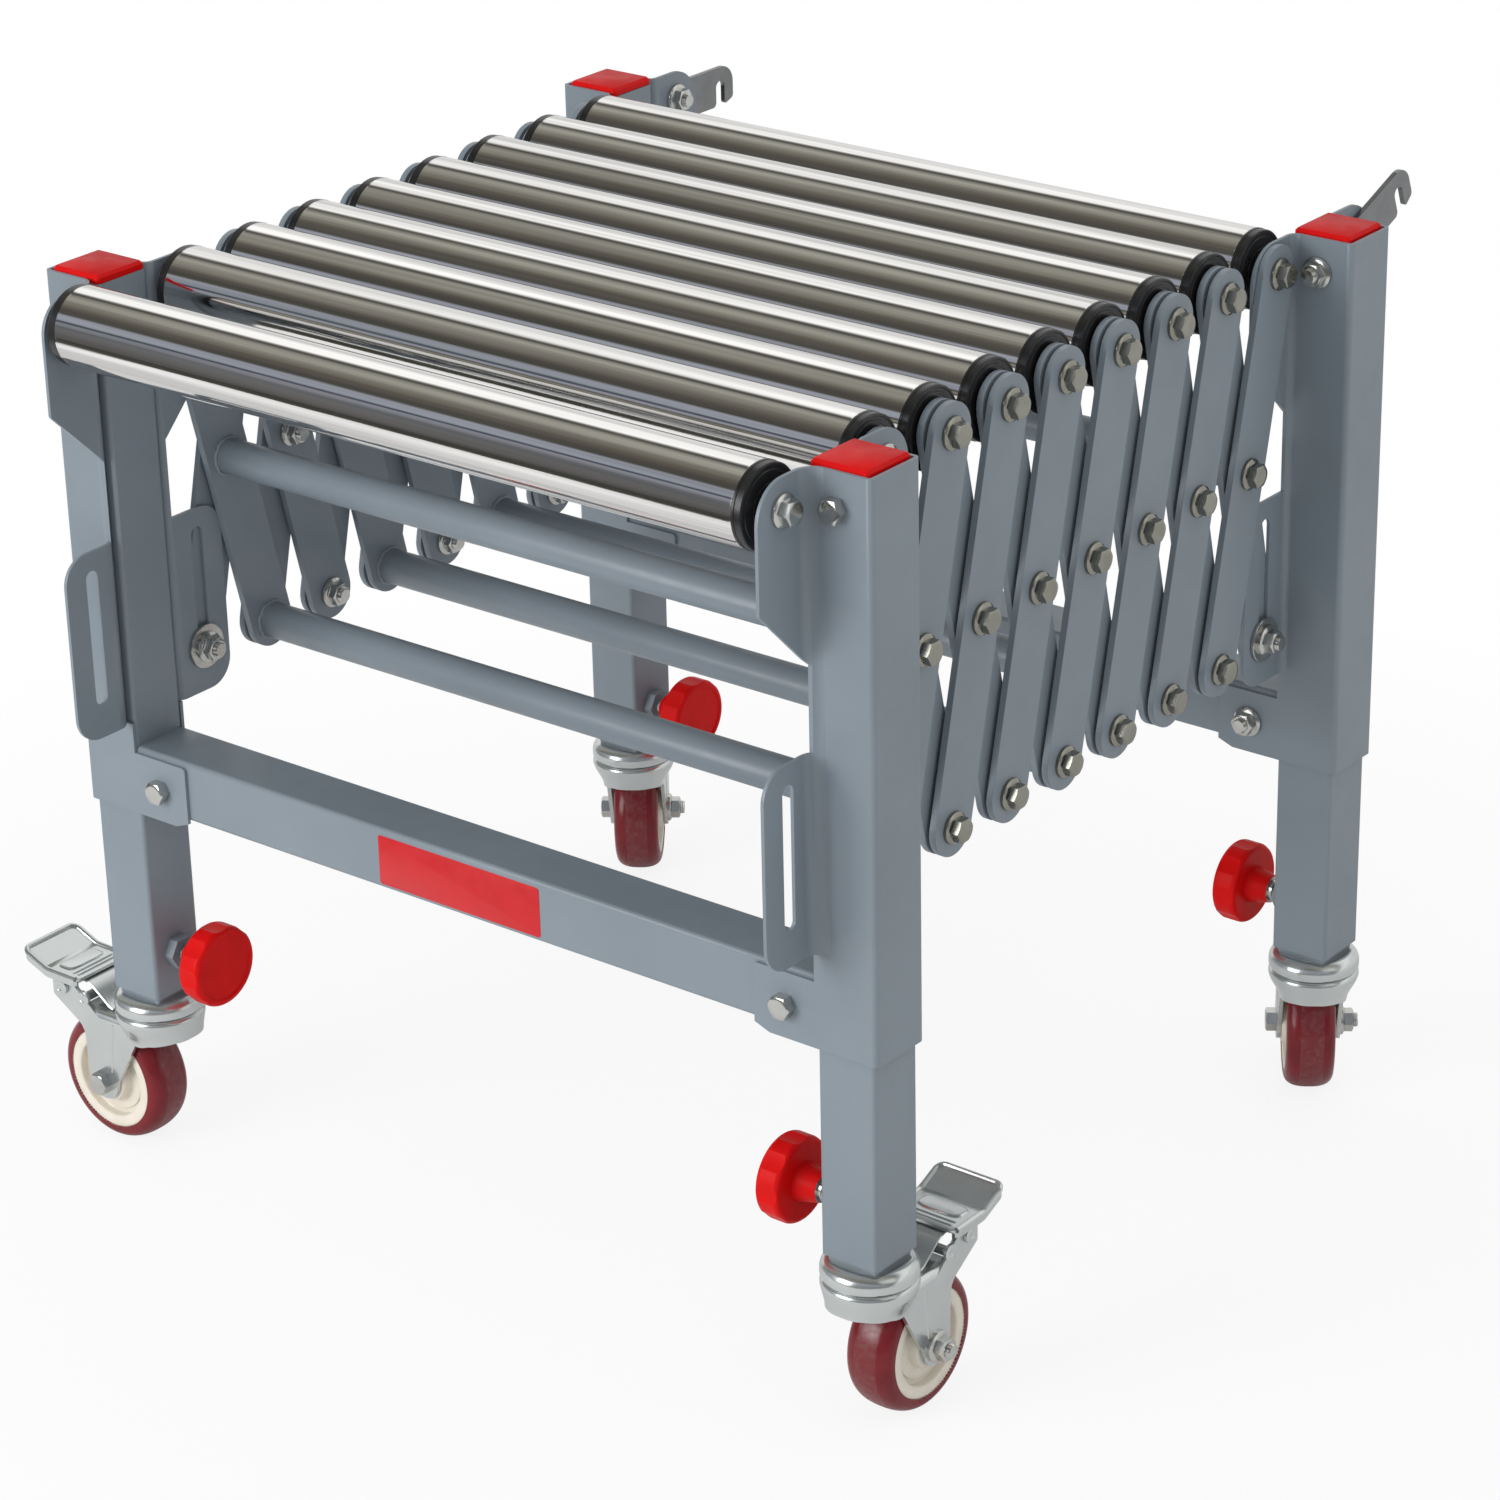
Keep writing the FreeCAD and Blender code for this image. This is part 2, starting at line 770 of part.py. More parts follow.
def fork_cheek(braked):
    """One side plate of the fork, with the pedal's ear on a braked caster."""
    foot = fork_foot_radius
    back = trail + fork_tail
    shoulder = fork_roof_high - fork_bend
    corners = [
        (trail - fork_elbow_back, shoulder, 0),
        (trail - fork_elbow_back, fork_elbow_height, foot / 2),
        (trail - foot, wheel_radius, foot),
        (trail - foot, wheel_radius - foot, foot),
        (trail + foot, wheel_radius - foot, foot),
        (back, fork_elbow_height, foot),
    ]
    if braked:
        ear_low = pedal_pivot_z - fork_ear_below
        ear_high = pedal_pivot_z + fork_ear_above
        corners += [
            (pedal_pivot_x + fork_ear_half, ear_low, fork_sheet),
            (pedal_pivot_x + fork_ear_half, ear_high, fork_sheet),
            (pedal_pivot_x - fork_ear_half, ear_high, fork_sheet),
            (trail, shoulder, 0),
        ]
    else:
        corners.append((back, shoulder, 0))
    cheek = across_y(rounded_face(corners, side_view), fork_inner, fork_outer)
    bores = [(axle_radius, trail, wheel_radius)]
    if braked:
        bores.append((pedal_pin_radius, pedal_pivot_x, pedal_pivot_z))
    for radius, x, z in bores:
        bore = rod_y(radius + pivot_clearance, fork_inner - cut_overrun, fork_outer + cut_overrun, x, z)
        cheek = cheek.cut(bore)
    return cheek


def caster_fork(braked):
    """Pressed fork with its lower race and axle, drawn with the trail along +X."""
    cheek = fork_cheek(braked)
    other = cheek.mirror(vector(0, 0, 0), vector(0, 1, 0))
    race = rounded_face(
        [
            (king_pin_radius + pivot_clearance, fork_roof_high, 0),
            (race_radius, fork_roof_high, race_bead),
            (race_radius, race_top, race_bead),
            (king_pin_radius + pivot_clearance, race_top, 0),
        ],
        side_view,
    ).revolve(vector(0, 0, 0), vector(0, 0, 1), 360)
    fork = joined([fork_cap(), cheek, other])
    fork = fork.cut(rod_z(king_pin_radius + pivot_clearance, 0, race_top))
    solids = [fork, race, axle_bolt()]
    if braked:
        place = (pedal_pivot_x - brake_pin_ahead, pedal_pivot_z - brake_pin_drop)
        pin = rod_y(brake_pin_radius, -fork_outer, fork_outer, *place)
        solids[0] = fork.cut(pin)
        head_radius = pedal_pin_head_radius - pedal_cheek_gap
        heads = [
            rod_y(head_radius, low, low + pedal_pin_head_height, *place)
            for low in (fork_outer, -fork_outer - pedal_pin_head_height)
        ]
        solids.append(joined([pin, *heads]))
    return solids


def axle_bolt():
    """Wheel axle: hexagon head on one cheek, flanged nut on the other."""
    shank = rod_x(axle_radius, -fork_outer, fork_outer)
    head = hexagon_x(hex_across, -fork_outer - hex_height, -fork_outer)
    bolt = joined([head, shank, *flange_nut_x(fork_outer)])
    return moved(turned(bolt, -90, vector(0, 0, 1)), trail, 0, wheel_radius)


def caster_wheel():
    """Rounded tyre on a dished hub, drawn about X and turned to the caster's axle."""
    half = wheel_width / 2
    seat = wheel_radius - tyre_depth
    shoulder = wheel_radius - tyre_shoulder_drop
    tyre = turned_x([
        (-half, seat, 0),
        (-half, shoulder, tyre_shoulder),
        (-tyre_crown_half, wheel_radius, tyre_crown_round),
        (tyre_crown_half, wheel_radius, tyre_crown_round),
        (half, shoulder, tyre_shoulder),
        (half, seat, 0),
    ])
    hub_half = half - hub_inset
    boss_half = fork_inner - pivot_clearance
    bore = axle_radius + pivot_clearance
    dish_outer = seat * hub_dish_outer_share
    dish_inner = seat * hub_dish_inner_share
    floor = hub_half - hub_dish_depth
    hub = turned_x([
        (-boss_half, bore, 0),
        (-boss_half, dish_inner, 0),
        (-floor, dish_inner, 0),
        (-floor, dish_outer, 0),
        (-hub_half, dish_outer, 0),
        (-hub_half, seat, 0),
        (hub_half, seat, 0),
        (hub_half, dish_outer, 0),
        (floor, dish_outer, 0),
        (floor, dish_inner, 0),
        (boss_half, dish_inner, 0),
        (boss_half, bore, 0),
    ])
    return [moved(turned(piece, 90, vector(0, 0, 1)), trail, 0, wheel_radius) for piece in (tyre, hub)]


def brake_pedal():
    """Pressed tray of a pedal with two cheeks on a rivet between the fork's tail ears."""
    seat = pedal_pivot_z + pedal_height
    heel = pedal_pivot_x - pedal_heel
    knee = pedal_pivot_x + pedal_knee
    toe = pedal_pivot_x + pedal_toe
    half = pedal_width / 2

    def tread(rear, front, high):
        low = high - pedal_wall
        return rounded_face(
            [
                (rear, low, 0),
                (knee, low, pedal_dip),
                (front, low + pedal_toe_rise, 0),
                (front, high + pedal_toe_rise, 0),
                (knee, high, pedal_dip),
                (rear, high, 0),
            ],
            side_view,
        )

    plate = raised(rectangle((toe - heel) / 2, half, pedal_corner, plan), 0, seat + seat)
    tray = across_y(tread(heel, toe, seat + pedal_sheet), -half, half).common(moved(plate, (toe + heel) / 2))
    hollow = tread(heel - cut_overrun, toe - pedal_sheet, seat)
    pieces = [tray.cut(across_y(hollow, pedal_sheet - half, half - pedal_sheet))]
    cheek_far = fork_inner - pedal_cheek_gap
    cheek = rounded_face(
        [
            (pedal_pivot_x - pedal_cheek_half, seat + pedal_sheet / 2, 0),
            (pedal_pivot_x - pedal_cheek_half, pedal_pivot_z - pedal_cheek_drop, pedal_cheek_drop),
            (pedal_pivot_x + pedal_cheek_half, pedal_pivot_z - pedal_cheek_drop, pedal_cheek_drop),
            (pedal_pivot_x + pedal_cheek_half, seat + pedal_sheet / 2, 0),
        ],
        side_view,
    )
    cheek_solid = across_y(cheek, cheek_far - pedal_sheet, cheek_far)
    pieces += [cheek_solid, cheek_solid.mirror(vector(0, 0, 0), vector(0, 1, 0))]
    head_seat = fork_outer + pivot_clearance
    pieces.append(rod_y(pedal_pin_radius, -head_seat, head_seat, pedal_pivot_x, pedal_pivot_z))
    for low in (head_seat, -head_seat - pedal_pin_head_height):
        high = low + pedal_pin_head_height
        pieces.append(rod_y(pedal_pin_head_radius, low, high, pedal_pivot_x, pedal_pivot_z))
    return joined(pieces)


def inner_leg():
    """Sliding square leg with the caster's upper race and king pin at its foot."""
    section = square_ring(leg_half, leg_half, leg_wall, leg_corner, plan)
    tube = raised(section, leg_bottom - leg_sink, leg_top)
    race_low = race_top + race_gap
    race = rounded_face(
        [
            (0, race_low, 0),
            (race_radius, race_low, race_lip),
            (race_radius, leg_bottom, upper_race_dome),
            (0, leg_bottom, 0),
        ],
        side_view,
    ).revolve(vector(0, 0, 0), vector(0, 0, 1), 360)
    head_top = fork_roof_low - king_pin_end_gap
    pin = rod_z(king_pin_radius, head_top, race_low)
    head = rod_z(king_pin_head_radius, head_top - king_pin_head_height, head_top)
    return [joined([tube, race, pin, head])]


def leg_knob():
    """Lobed clamping knob with its stud, drawn along -X from a right-hand post tube."""
    face = -tube_half - knob_stand_off
    neck_end = face - knob_neck_length
    disc_end = neck_end - knob_disc
    body = turned_x([
        (face, 0, 0),
        (face, knob_neck_radius, 0),
        (neck_end, knob_neck_root, 0),
        (neck_end, knob_radius, knob_edge),
        (disc_end, knob_radius, knob_edge),
        (disc_end, knob_face_radius, 0),
        (disc_end + knob_face_recess, knob_face_radius - knob_face_recess, 0),
        (disc_end + knob_face_recess, 0, 0),
    ])
    for lobe in range(knob_lobe_count):
        angle = 2 * math.pi * lobe / knob_lobe_count
        place = knob_radius + knob_scallop_radius - knob_scallop_depth
        y, z = place * math.cos(angle), place * math.sin(angle)
        body = body.cut(rod_x(knob_scallop_radius, disc_end - cut_overrun, neck_end + cut_overrun, y, z))
    stud = rod_x(stud_radius, face, -tube_half + tube_wall)
    insert = rod_x(insert_radius, face, face + insert_length)
    return [moved(body, z=knob_height), moved(joined([stud, insert]), z=knob_height)]


def coupling_hook(side_name):
    """Flat hook on the outside of a rear ear, with a slot that opens downwards."""
    slot_end = hook_slot_start + hook_slot_width
    outline = rounded_face(
        [
            (-hook_pivot_radius, hook_above, hook_above),
            (hook_reach, hook_above, hook_nose_corner),
            (hook_reach, -hook_below + hook_tip_corner, hook_tip_corner),
            (slot_end, -hook_below, hook_tip_corner / 2),
            (slot_end, -hook_below + hook_slot_depth, hook_slot_width / 2),
            (hook_slot_start, -hook_below + hook_slot_depth, hook_slot_width / 2),
            (hook_slot_start, -hook_below, hook_tip_corner),
            (-hook_pivot_radius, -hook_below, hook_pivot_radius),
        ],
        end_view,
    )
    low = ear_outer_x + side_clearance / 2
    hook = across_x(outline, low, low + hook_thickness)
    hook = hook.cut(rod_x(pivot_hole, low - cut_overrun, low + hook_thickness + cut_overrun))
    hook = turned(hook, hook_tilt_angle[side_name], vector(1, 0, 0))
    return moved(on_side(hook, SIDES[side_name]), 0, post_y + ear_reach, pivot_height)


def corner_nodes(end_name, side_name):
    """What one post carries: sliding leg, caster, wheel, knob and, in front, a brake pedal."""
    corner = end_name + "_" + side_name
    x, y = SIDES[side_name] * post_half_spacing, ENDS[end_name] * post_y
    turn = caster_turn_angle[corner]
    braked = end_name == "front"

    def placed(solids):
        return [moved(turned(solid, turn, vector(0, 0, 1)), x, y) for solid in solids]

    nodes = {
        "inner_leg_" + corner: [moved(solid, x, y) for solid in inner_leg()],
        "caster_fork_" + corner: placed(caster_fork(braked)),
        "caster_wheel_" + corner: placed(caster_wheel()),
        "leg_knob_" + corner: [moved(on_side(solid, SIDES[side_name]), x, y) for solid in leg_knob()],
    }
    if braked:
        nodes["brake_pedal_" + corner] = placed([brake_pedal()])
    return nodes


def table_nodes():
    nodes = {}
    for end_name in ENDS:
        nodes.update(frame_nodes(end_name))
        for side_name in SIDES:
            nodes.update(corner_nodes(end_name, side_name))
    for side_name in SIDES:
        nodes["coupling_hook_" + side_name] = [coupling_hook(side_name)]
    for pair in range(1, pair_count + 1):
        nodes["inner_links_%d" % pair] = inner_links(pair)
        nodes["outer_links_%d" % pair] = outer_links(pair)
        nodes["link_pivots_%d" % pair] = link_pivots(pair)
    for number in range(1, roller_count + 1):
        place = roller_y(number)
        nodes["roller_%d" % number] = [moved(solid, 0, place, pivot_height) for solid in roller()]
    return nodes


def write_parts():
    os.makedirs("parts", exist_ok=True)
    for name, solids in table_nodes().items():
        shape = solids[0] if len(solids) == 1 else Part.Compound(solids)
        shape.exportStep("parts/" + name + ".step")


write_parts()
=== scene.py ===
import json
import math

import bpy
from mathutils import Matrix, Vector


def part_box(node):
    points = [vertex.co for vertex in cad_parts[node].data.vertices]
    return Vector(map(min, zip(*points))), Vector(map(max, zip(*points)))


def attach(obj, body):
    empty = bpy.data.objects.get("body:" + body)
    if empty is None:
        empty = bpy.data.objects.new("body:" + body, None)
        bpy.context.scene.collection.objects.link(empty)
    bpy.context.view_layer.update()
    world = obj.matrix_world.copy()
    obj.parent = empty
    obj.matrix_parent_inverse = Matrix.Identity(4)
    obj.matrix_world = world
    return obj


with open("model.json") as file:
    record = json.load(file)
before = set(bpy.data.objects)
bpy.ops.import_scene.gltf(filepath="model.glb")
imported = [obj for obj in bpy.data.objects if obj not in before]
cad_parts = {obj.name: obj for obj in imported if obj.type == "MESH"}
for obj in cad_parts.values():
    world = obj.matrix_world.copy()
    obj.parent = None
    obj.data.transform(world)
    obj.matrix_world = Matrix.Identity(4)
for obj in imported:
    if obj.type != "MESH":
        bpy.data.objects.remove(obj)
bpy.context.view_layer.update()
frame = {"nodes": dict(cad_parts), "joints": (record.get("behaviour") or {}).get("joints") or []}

# Camera, fitted to the photograph, in metres and degrees
PHOTO_SIDE = 1500
FOCAL_PIXELS = 4543.3
SENSOR_WIDTH = 36.0
CAMERA_PLACE = Vector((1.8589, -2.3012, 1.6359))
CAMERA_AZIMUTH = 38.69
CAMERA_ELEVATION = 24.24
CAMERA_ROLL = -1.32

# Colours, in linear light
GREY_PAINT = (0.205, 0.245, 0.280)
RED_PLASTIC = (0.640, 0.004, 0.004)
BLACK_PLASTIC = (0.012, 0.012, 0.013)
TYRE_RED = (0.165, 0.012, 0.017)
TYRE_DUST = (0.185, 0.050, 0.050)
HUB_CREAM = (0.740, 0.690, 0.600)
CHROME = (0.800, 0.790, 0.775)
ZINC = (0.600, 0.630, 0.625)
BOLT_STEEL = (0.560, 0.560, 0.535)
LINK_BOLT_STEEL = (0.300, 0.295, 0.255)
HOOK_STEEL = (0.210, 0.215, 0.218)
LABEL_RED = (0.540, 0.005, 0.009)
WHITE = (1.0, 1.0, 1.0)

# Finish scales, in cycles per metre
ORANGE_PEEL_SCALE = 420.0
GRAIN_SCALE = 1600.0
CLOUD_SCALE = 9.0
STREAK_SCALE = 60.0
DRAWN_SCALE = 260.0
SCRATCH_SCALE = 700.0
ZINC_CLOUD_SCALE = 30.0
STEEL_CLOUD_SCALE = 90.0
DUST_SCALE = 240.0
WEAR_SCALE = 300.0

# Places that the fine pieces sit on, in millimetres, as the CAD has them
MM = 0.001
SIDES = (-1, 1)
LAST_PAIR = 7
PAIRS = range(1, LAST_PAIR + 1)
PAIR_PITCH = 63.0
FIRST_STATION = -220.5
PIVOT_HEIGHT = 657.99
MID_HEIGHT = 523.12
LOW_HEIGHT = 388.25
POST_X = 323.0
POST_Y = 271.5
POST_FACE = 25.0
EAR_REACH = 51.0
EAR_INNER = 300.5
EAR_OUTER = 303.0
HOOK_OUTER = 307.25
OUTER_LINK_FACE = 308.25
INNER_LINK_NEAR = 295.25
INNER_NUT_SEAT = 295.0
SLOT_WASHER_INNER = 297.75
SLOT_WASHER_OUTER = 305.75
POST_BOLT_HEIGHT = 654.99
GUSSET_BOLT_X = 277.0
GUSSET_BOLT_HEIGHT = 309.25
TUBE_RADIUS = 13.0
AXLE_TRAIL = 41.0
AXLE_HEIGHT = 50.0
FORK_FACE = 23.5
PEDAL_PIN = (77.0, 23.8, 118.0)
BRAKE_PIN = (54.0, 23.5, 115.0)
KNOB_HEIGHT = 167.5
CORNER_ANGLES = {"front_left": 180.0, "front_right": 90.0, "rear_left": 125.0, "rear_right": 125.0}

# Fine fasteners, just over the plain ones of the CAD, in millimetres
TURN_STEPS = 48
HEX_ACROSS = 15.3
HEX_HEIGHT = 7.1
HEX_CROWN_SHARE = 0.94
HEX_CROWN_RISE = 1.0
HEX_CHAMFER = 0.55
FLANGED_DISH = -0.15
PLAIN_DOME = 0.12
FLANGE_TOP = 2.0
FLANGE = [(0, 11.2), (1.5, 11.25), (2.1, 11.05), (2.6, 10.2), (3.4, 8.9), (3.6, 6.0)]
THREAD_RADIUS = 5.4
THREAD_ROOT = 5.05
THREAD_PITCH = 1.25
THREAD_END = 3.4
THREAD_SINK = 1.0
THREAD_CHAMFER = 0.4
SLOT_WASHER_RADIUS = 16.0
SLOT_WASHER_SHEET = 2.5
WASHER_PROUD = 0.2
WASHER_BEVEL = 0.3
WASHER_BORE = 9.0
BRAKE_RIVET = 5.6
PEDAL_RIVET = 6.0
STUD_SEAT = 29.0
STUD_THREAD = 5.0

nodes = frame["nodes"]
joints = {joint["name"]: joint for joint in frame["joints"]}


def shade(colour, factor):
    return tuple(min(1.0, channel * factor) for channel in colour)


def rgba(colour):
    return (*colour, 1.0)


class Finish:
    """A procedural material with a principled shader and a few helpers for its nodes."""

    def __init__(self, name):
        self.material = bpy.data.materials.new(name)
        self.material.use_nodes = True
        self.tree = self.material.node_tree
        self.shader = self.tree.nodes["Principled BSDF"]
        self.place = self.add("ShaderNodeTexCoord").outputs["Object"]

    def add(self, kind, **settings):
        node = self.tree.nodes.new(kind)
        for name, value in settings.items():
            setattr(node, name, value)
        return node

    def link(self, out, into):
        self.tree.links.new(out, into)

    def set(self, values):
        for name, value in values.items():
            self.shader.inputs[name].default_value = value

    def stretched(self, x, y, z):
        mapping = self.add("ShaderNodeMapping")
        mapping.inputs["Scale"].default_value = (x, y, z)
        self.link(self.place, mapping.inputs["Vector"])
        return mapping.outputs["Vector"]

    def noise(self, scale, detail=3.0, vector=None):
        node = self.add("ShaderNodeTexNoise")
        node.inputs["Scale"].default_value = scale
        node.inputs["Detail"].default_value = detail
        self.link(self.place if vector is None else vector, node.inputs["Vector"])
        return node.outputs["Fac"]

    def ramp(self, fac, low, high, start=0.35, end=0.65):
        node = self.add("ShaderNodeValToRGB")
        node.color_ramp.elements[0].position = start
        node.color_ramp.elements[0].color = low
        node.color_ramp.elements[1].position = end
        node.color_ramp.elements[1].color = high
        self.link(fac, node.inputs["Fac"])
        return node.outputs["Color"]

    def colour(self, fac, low, high, start=0.35, end=0.65):
        self.link(self.ramp(fac, rgba(low), rgba(high), start, end), self.shader.inputs["Base Color"])

    def roughness(self, fac, low, high):
        grey = self.ramp(fac, rgba((low,) * 3), rgba((high,) * 3))
        self.link(grey, self.shader.inputs["Roughness"])

    def bump(self, fac, height, strength=1.0):
        node = self.add("ShaderNodeBump")
        node.inputs["Distance"].default_value = height
        node.inputs["Strength"].default_value = strength
        self.link(fac, node.inputs["Height"])
        self.link(node.outputs["Normal"], self.shader.inputs["Normal"])


def grey_paint():
    finish = Finish("grey_paint")
    finish.colour(finish.noise(CLOUD_SCALE), shade(GREY_PAINT, 0.96), shade(GREY_PAINT, 1.04))
    finish.roughness(finish.noise(CLOUD_SCALE * 6), 0.36, 0.44)
    finish.bump(finish.noise(ORANGE_PEEL_SCALE, 2.0), 0.0001, 0.2)
    return finish.material


def red_plastic():
    finish = Finish("red_plastic")
    finish.set({"Specular IOR Level": 0.1})
    finish.colour(finish.noise(CLOUD_SCALE * 4), shade(RED_PLASTIC, 0.94), shade(RED_PLASTIC, 1.05))
    finish.roughness(finish.noise(CLOUD_SCALE * 10), 0.36, 0.46)
    finish.bump(finish.noise(GRAIN_SCALE, 2.0), 0.00006, 0.3)
    return finish.material


def black_plastic():
    finish = Finish("black_plastic")
    finish.colour(finish.noise(CLOUD_SCALE * 8), shade(BLACK_PLASTIC, 0.8), shade(BLACK_PLASTIC, 1.4))
    finish.roughness(finish.noise(CLOUD_SCALE * 12), 0.26, 0.36)
    finish.bump(finish.noise(GRAIN_SCALE, 2.0), 0.00005, 0.2)
    return finish.material


def roller_chrome():
    finish = Finish("roller_chrome")
    finish.set({"Metallic": 1.0})
    streaks = finish.noise(STREAK_SCALE, 4.0, finish.stretched(0.25, 1.0, 1.0))
    drawn = finish.noise(DRAWN_SCALE, 3.0, finish.stretched(0.006, 1.0, 1.0))
    finish.colour(drawn, shade(CHROME, 0.76), shade(CHROME, 1.04))
    finish.roughness(streaks, 0.05, 0.09)
    scratches = finish.noise(SCRATCH_SCALE, 2.0, finish.stretched(0.02, 1.0, 1.0))
    finish.bump(scratches, 0.00003, 0.35)
    return finish.material


def zinc():
    finish = Finish("zinc")
    finish.set({"Metallic": 0.85})
    cloud = finish.noise(ZINC_CLOUD_SCALE, 2.0)
    finish.colour(cloud, shade(ZINC, 0.96), shade(ZINC, 1.03))
    finish.roughness(cloud, 0.2, 0.26)
    finish.bump(finish.noise(ORANGE_PEEL_SCALE, 1.0), 0.00003, 0.1)
    return finish.material


def plain_steel(name, colour):
    finish = Finish(name)
    finish.set({"Metallic": 1.0})
    cloud = finish.noise(STEEL_CLOUD_SCALE, 2.0)
    finish.colour(cloud, shade(colour, 0.93), shade(colour, 1.06))
    finish.roughness(cloud, 0.17, 0.23)
    finish.bump(finish.noise(GRAIN_SCALE, 1.0), 0.00002, 0.1)
    return finish.material


def tyre():
    finish = Finish("tyre")
    finish.set({"Specular IOR Level": 0.3})
    finish.colour(finish.noise(CLOUD_SCALE * 6), shade(TYRE_RED, 0.88), shade(TYRE_RED, 1.12))
    finish.roughness(finish.noise(CLOUD_SCALE * 14), 0.18, 0.26)
    finish.bump(finish.noise(GRAIN_SCALE / 2, 3.0), 0.00008, 0.2)
    return finish.material


def tread():
    finish = Finish("tread")
    finish.colour(finish.noise(DUST_SCALE, 6.0), TYRE_RED, TYRE_DUST, 0.46, 0.74)
    finish.roughness(finish.noise(WEAR_SCALE, 4.0), 0.2, 0.36)
    finish.bump(finish.noise(GRAIN_SCALE, 3.0), 0.0002, 0.35)
    return finish.material


def hub_plastic():
    finish = Finish("hub_plastic")
    finish.colour(finish.noise(CLOUD_SCALE * 8), shade(HUB_CREAM, 0.95), shade(HUB_CREAM, 1.03))
    finish.roughness(finish.noise(CLOUD_SCALE * 12), 0.36, 0.48)
    finish.bump(finish.noise(GRAIN_SCALE, 2.0), 0.00006, 0.2)
    return finish.material


def label_vinyl():
    finish = Finish("label_vinyl")
    finish.colour(finish.noise(CLOUD_SCALE * 5), shade(LABEL_RED, 0.96), shade(LABEL_RED, 1.04))
    finish.roughness(finish.noise(CLOUD_SCALE * 10), 0.3, 0.38)
    finish.bump(finish.noise(GRAIN_SCALE, 2.0), 0.00003, 0.2)
    return finish.material


PAINT = grey_paint()
RED = red_plastic()
BLACK = black_plastic()
BRIGHT = roller_chrome()
PLATED = zinc()
STEEL = plain_steel("bolt_steel", BOLT_STEEL)
LINK_STEEL = plain_steel("link_bolt_steel", LINK_BOLT_STEEL)
HOOK = plain_steel("hook_steel", HOOK_STEEL)
TYRE = tyre()
TREAD = tread()
HUB = hub_plastic()
VINYL = label_vinyl()


def coat(node, *materials, choose=None):
    """Gives a CAD node its materials; choose maps a face's centre to one of them."""
    mesh = nodes[node].data
    mesh.materials.clear()
    for material in materials:
        mesh.materials.append(material)
    for face in mesh.polygons:
        face.material_index = choose(face.center) if choose else 0


# Rounded edges of the CAD nodes
WELD_DISTANCE = 0.000004
FLAT_ANGLE = math.radians(1)
SHARP_ANGLE = math.radians(50)
SHEET_EDGE = 0.5 * MM
CAP_EDGE = 0.8 * MM


def soften(node, width):
    """Rounds a CAD node's sharp edges a little, as paint and pressing leave them."""
    weld = nodes[node].modifiers.new("weld", "WELD")
    weld.merge_threshold = WELD_DISTANCE
    flat = nodes[node].modifiers.new("flat", "DECIMATE")
    flat.decimate_type = "DISSOLVE"
    flat.angle_limit = FLAT_ANGLE
    edge = nodes[node].modifiers.new("edge", "BEVEL")
    edge.width = width
    edge.segments = 2
    edge.limit_method = "ANGLE"
    edge.angle_limit = SHARP_ANGLE
    edge.harden_normals = True


# Where a node changes from one material to the next, in metres
ROLLER_END = 7 * MM
SEAM = 0.1 * MM
RACE_FOOT = 0.1306
HUB_RADIUS = 0.0392
TREAD_HALF = 0.0062
STUD_LENGTH = 0.0165


def coat_roller(name):
    tube_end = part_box(name)[1].x - ROLLER_END
    coat(name, BRIGHT, BLACK, choose=lambda centre: int(abs(centre.x) > tube_end + SEAM))


def coat_wheel(name):
    spin = joints["wheel_spin_" + name.removeprefix("caster_wheel_")]
    axle, direction = Vector(spin["pos_m"]), Vector(spin["axis"])

    def part_of_wheel(centre):
        arm = centre - axle
        along = arm.dot(direction)
        if (arm - direction * along).length < HUB_RADIUS:
            return 1
        return 2 if abs(along) < TREAD_HALF else 0

    coat(name, TYRE, HUB, TREAD, choose=part_of_wheel)


def coat_knob(name):
    low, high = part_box(name)
    inward = low.x > 0
    edge = high.x - STUD_LENGTH if inward else low.x + STUD_LENGTH
    coat(name, RED, STEEL, choose=lambda centre: int(centre.x > edge if inward else centre.x < edge))


for name in nodes:
    sheet = name.endswith(("_post_shells", "_leg_tubes", "_crossbar"))
    if sheet or name.startswith(("inner_links", "outer_links")):
        coat(name, PAINT)
        soften(name, SHEET_EDGE)
    if name.endswith("_post_caps"):
        coat(name, RED)
        soften(name, CAP_EDGE)
    if name.endswith("_fasteners") or name.startswith("link_pivots"):
        coat(name, STEEL)
    if name.startswith("coupling_hook"):
        coat(name, HOOK)
        soften(name, SHEET_EDGE)
    if name.startswith(("caster_fork", "brake_pedal")):
        coat(name, PLATED)
        soften(name, SHEET_EDGE)
    if name.startswith("roller"):
        coat_roller(name)
    if name.startswith("inner_leg"):
        coat(name, PAINT, PLATED, choose=lambda centre: int(centre.z < RACE_FOOT))
    if name.startswith("caster_wheel"):
        coat_wheel(name)
    if name.startswith("leg_knob"):
        coat_knob(name)


# Faces that meet at less than this are shaded as one
SMOOTH_ANGLE = math.radians(32)


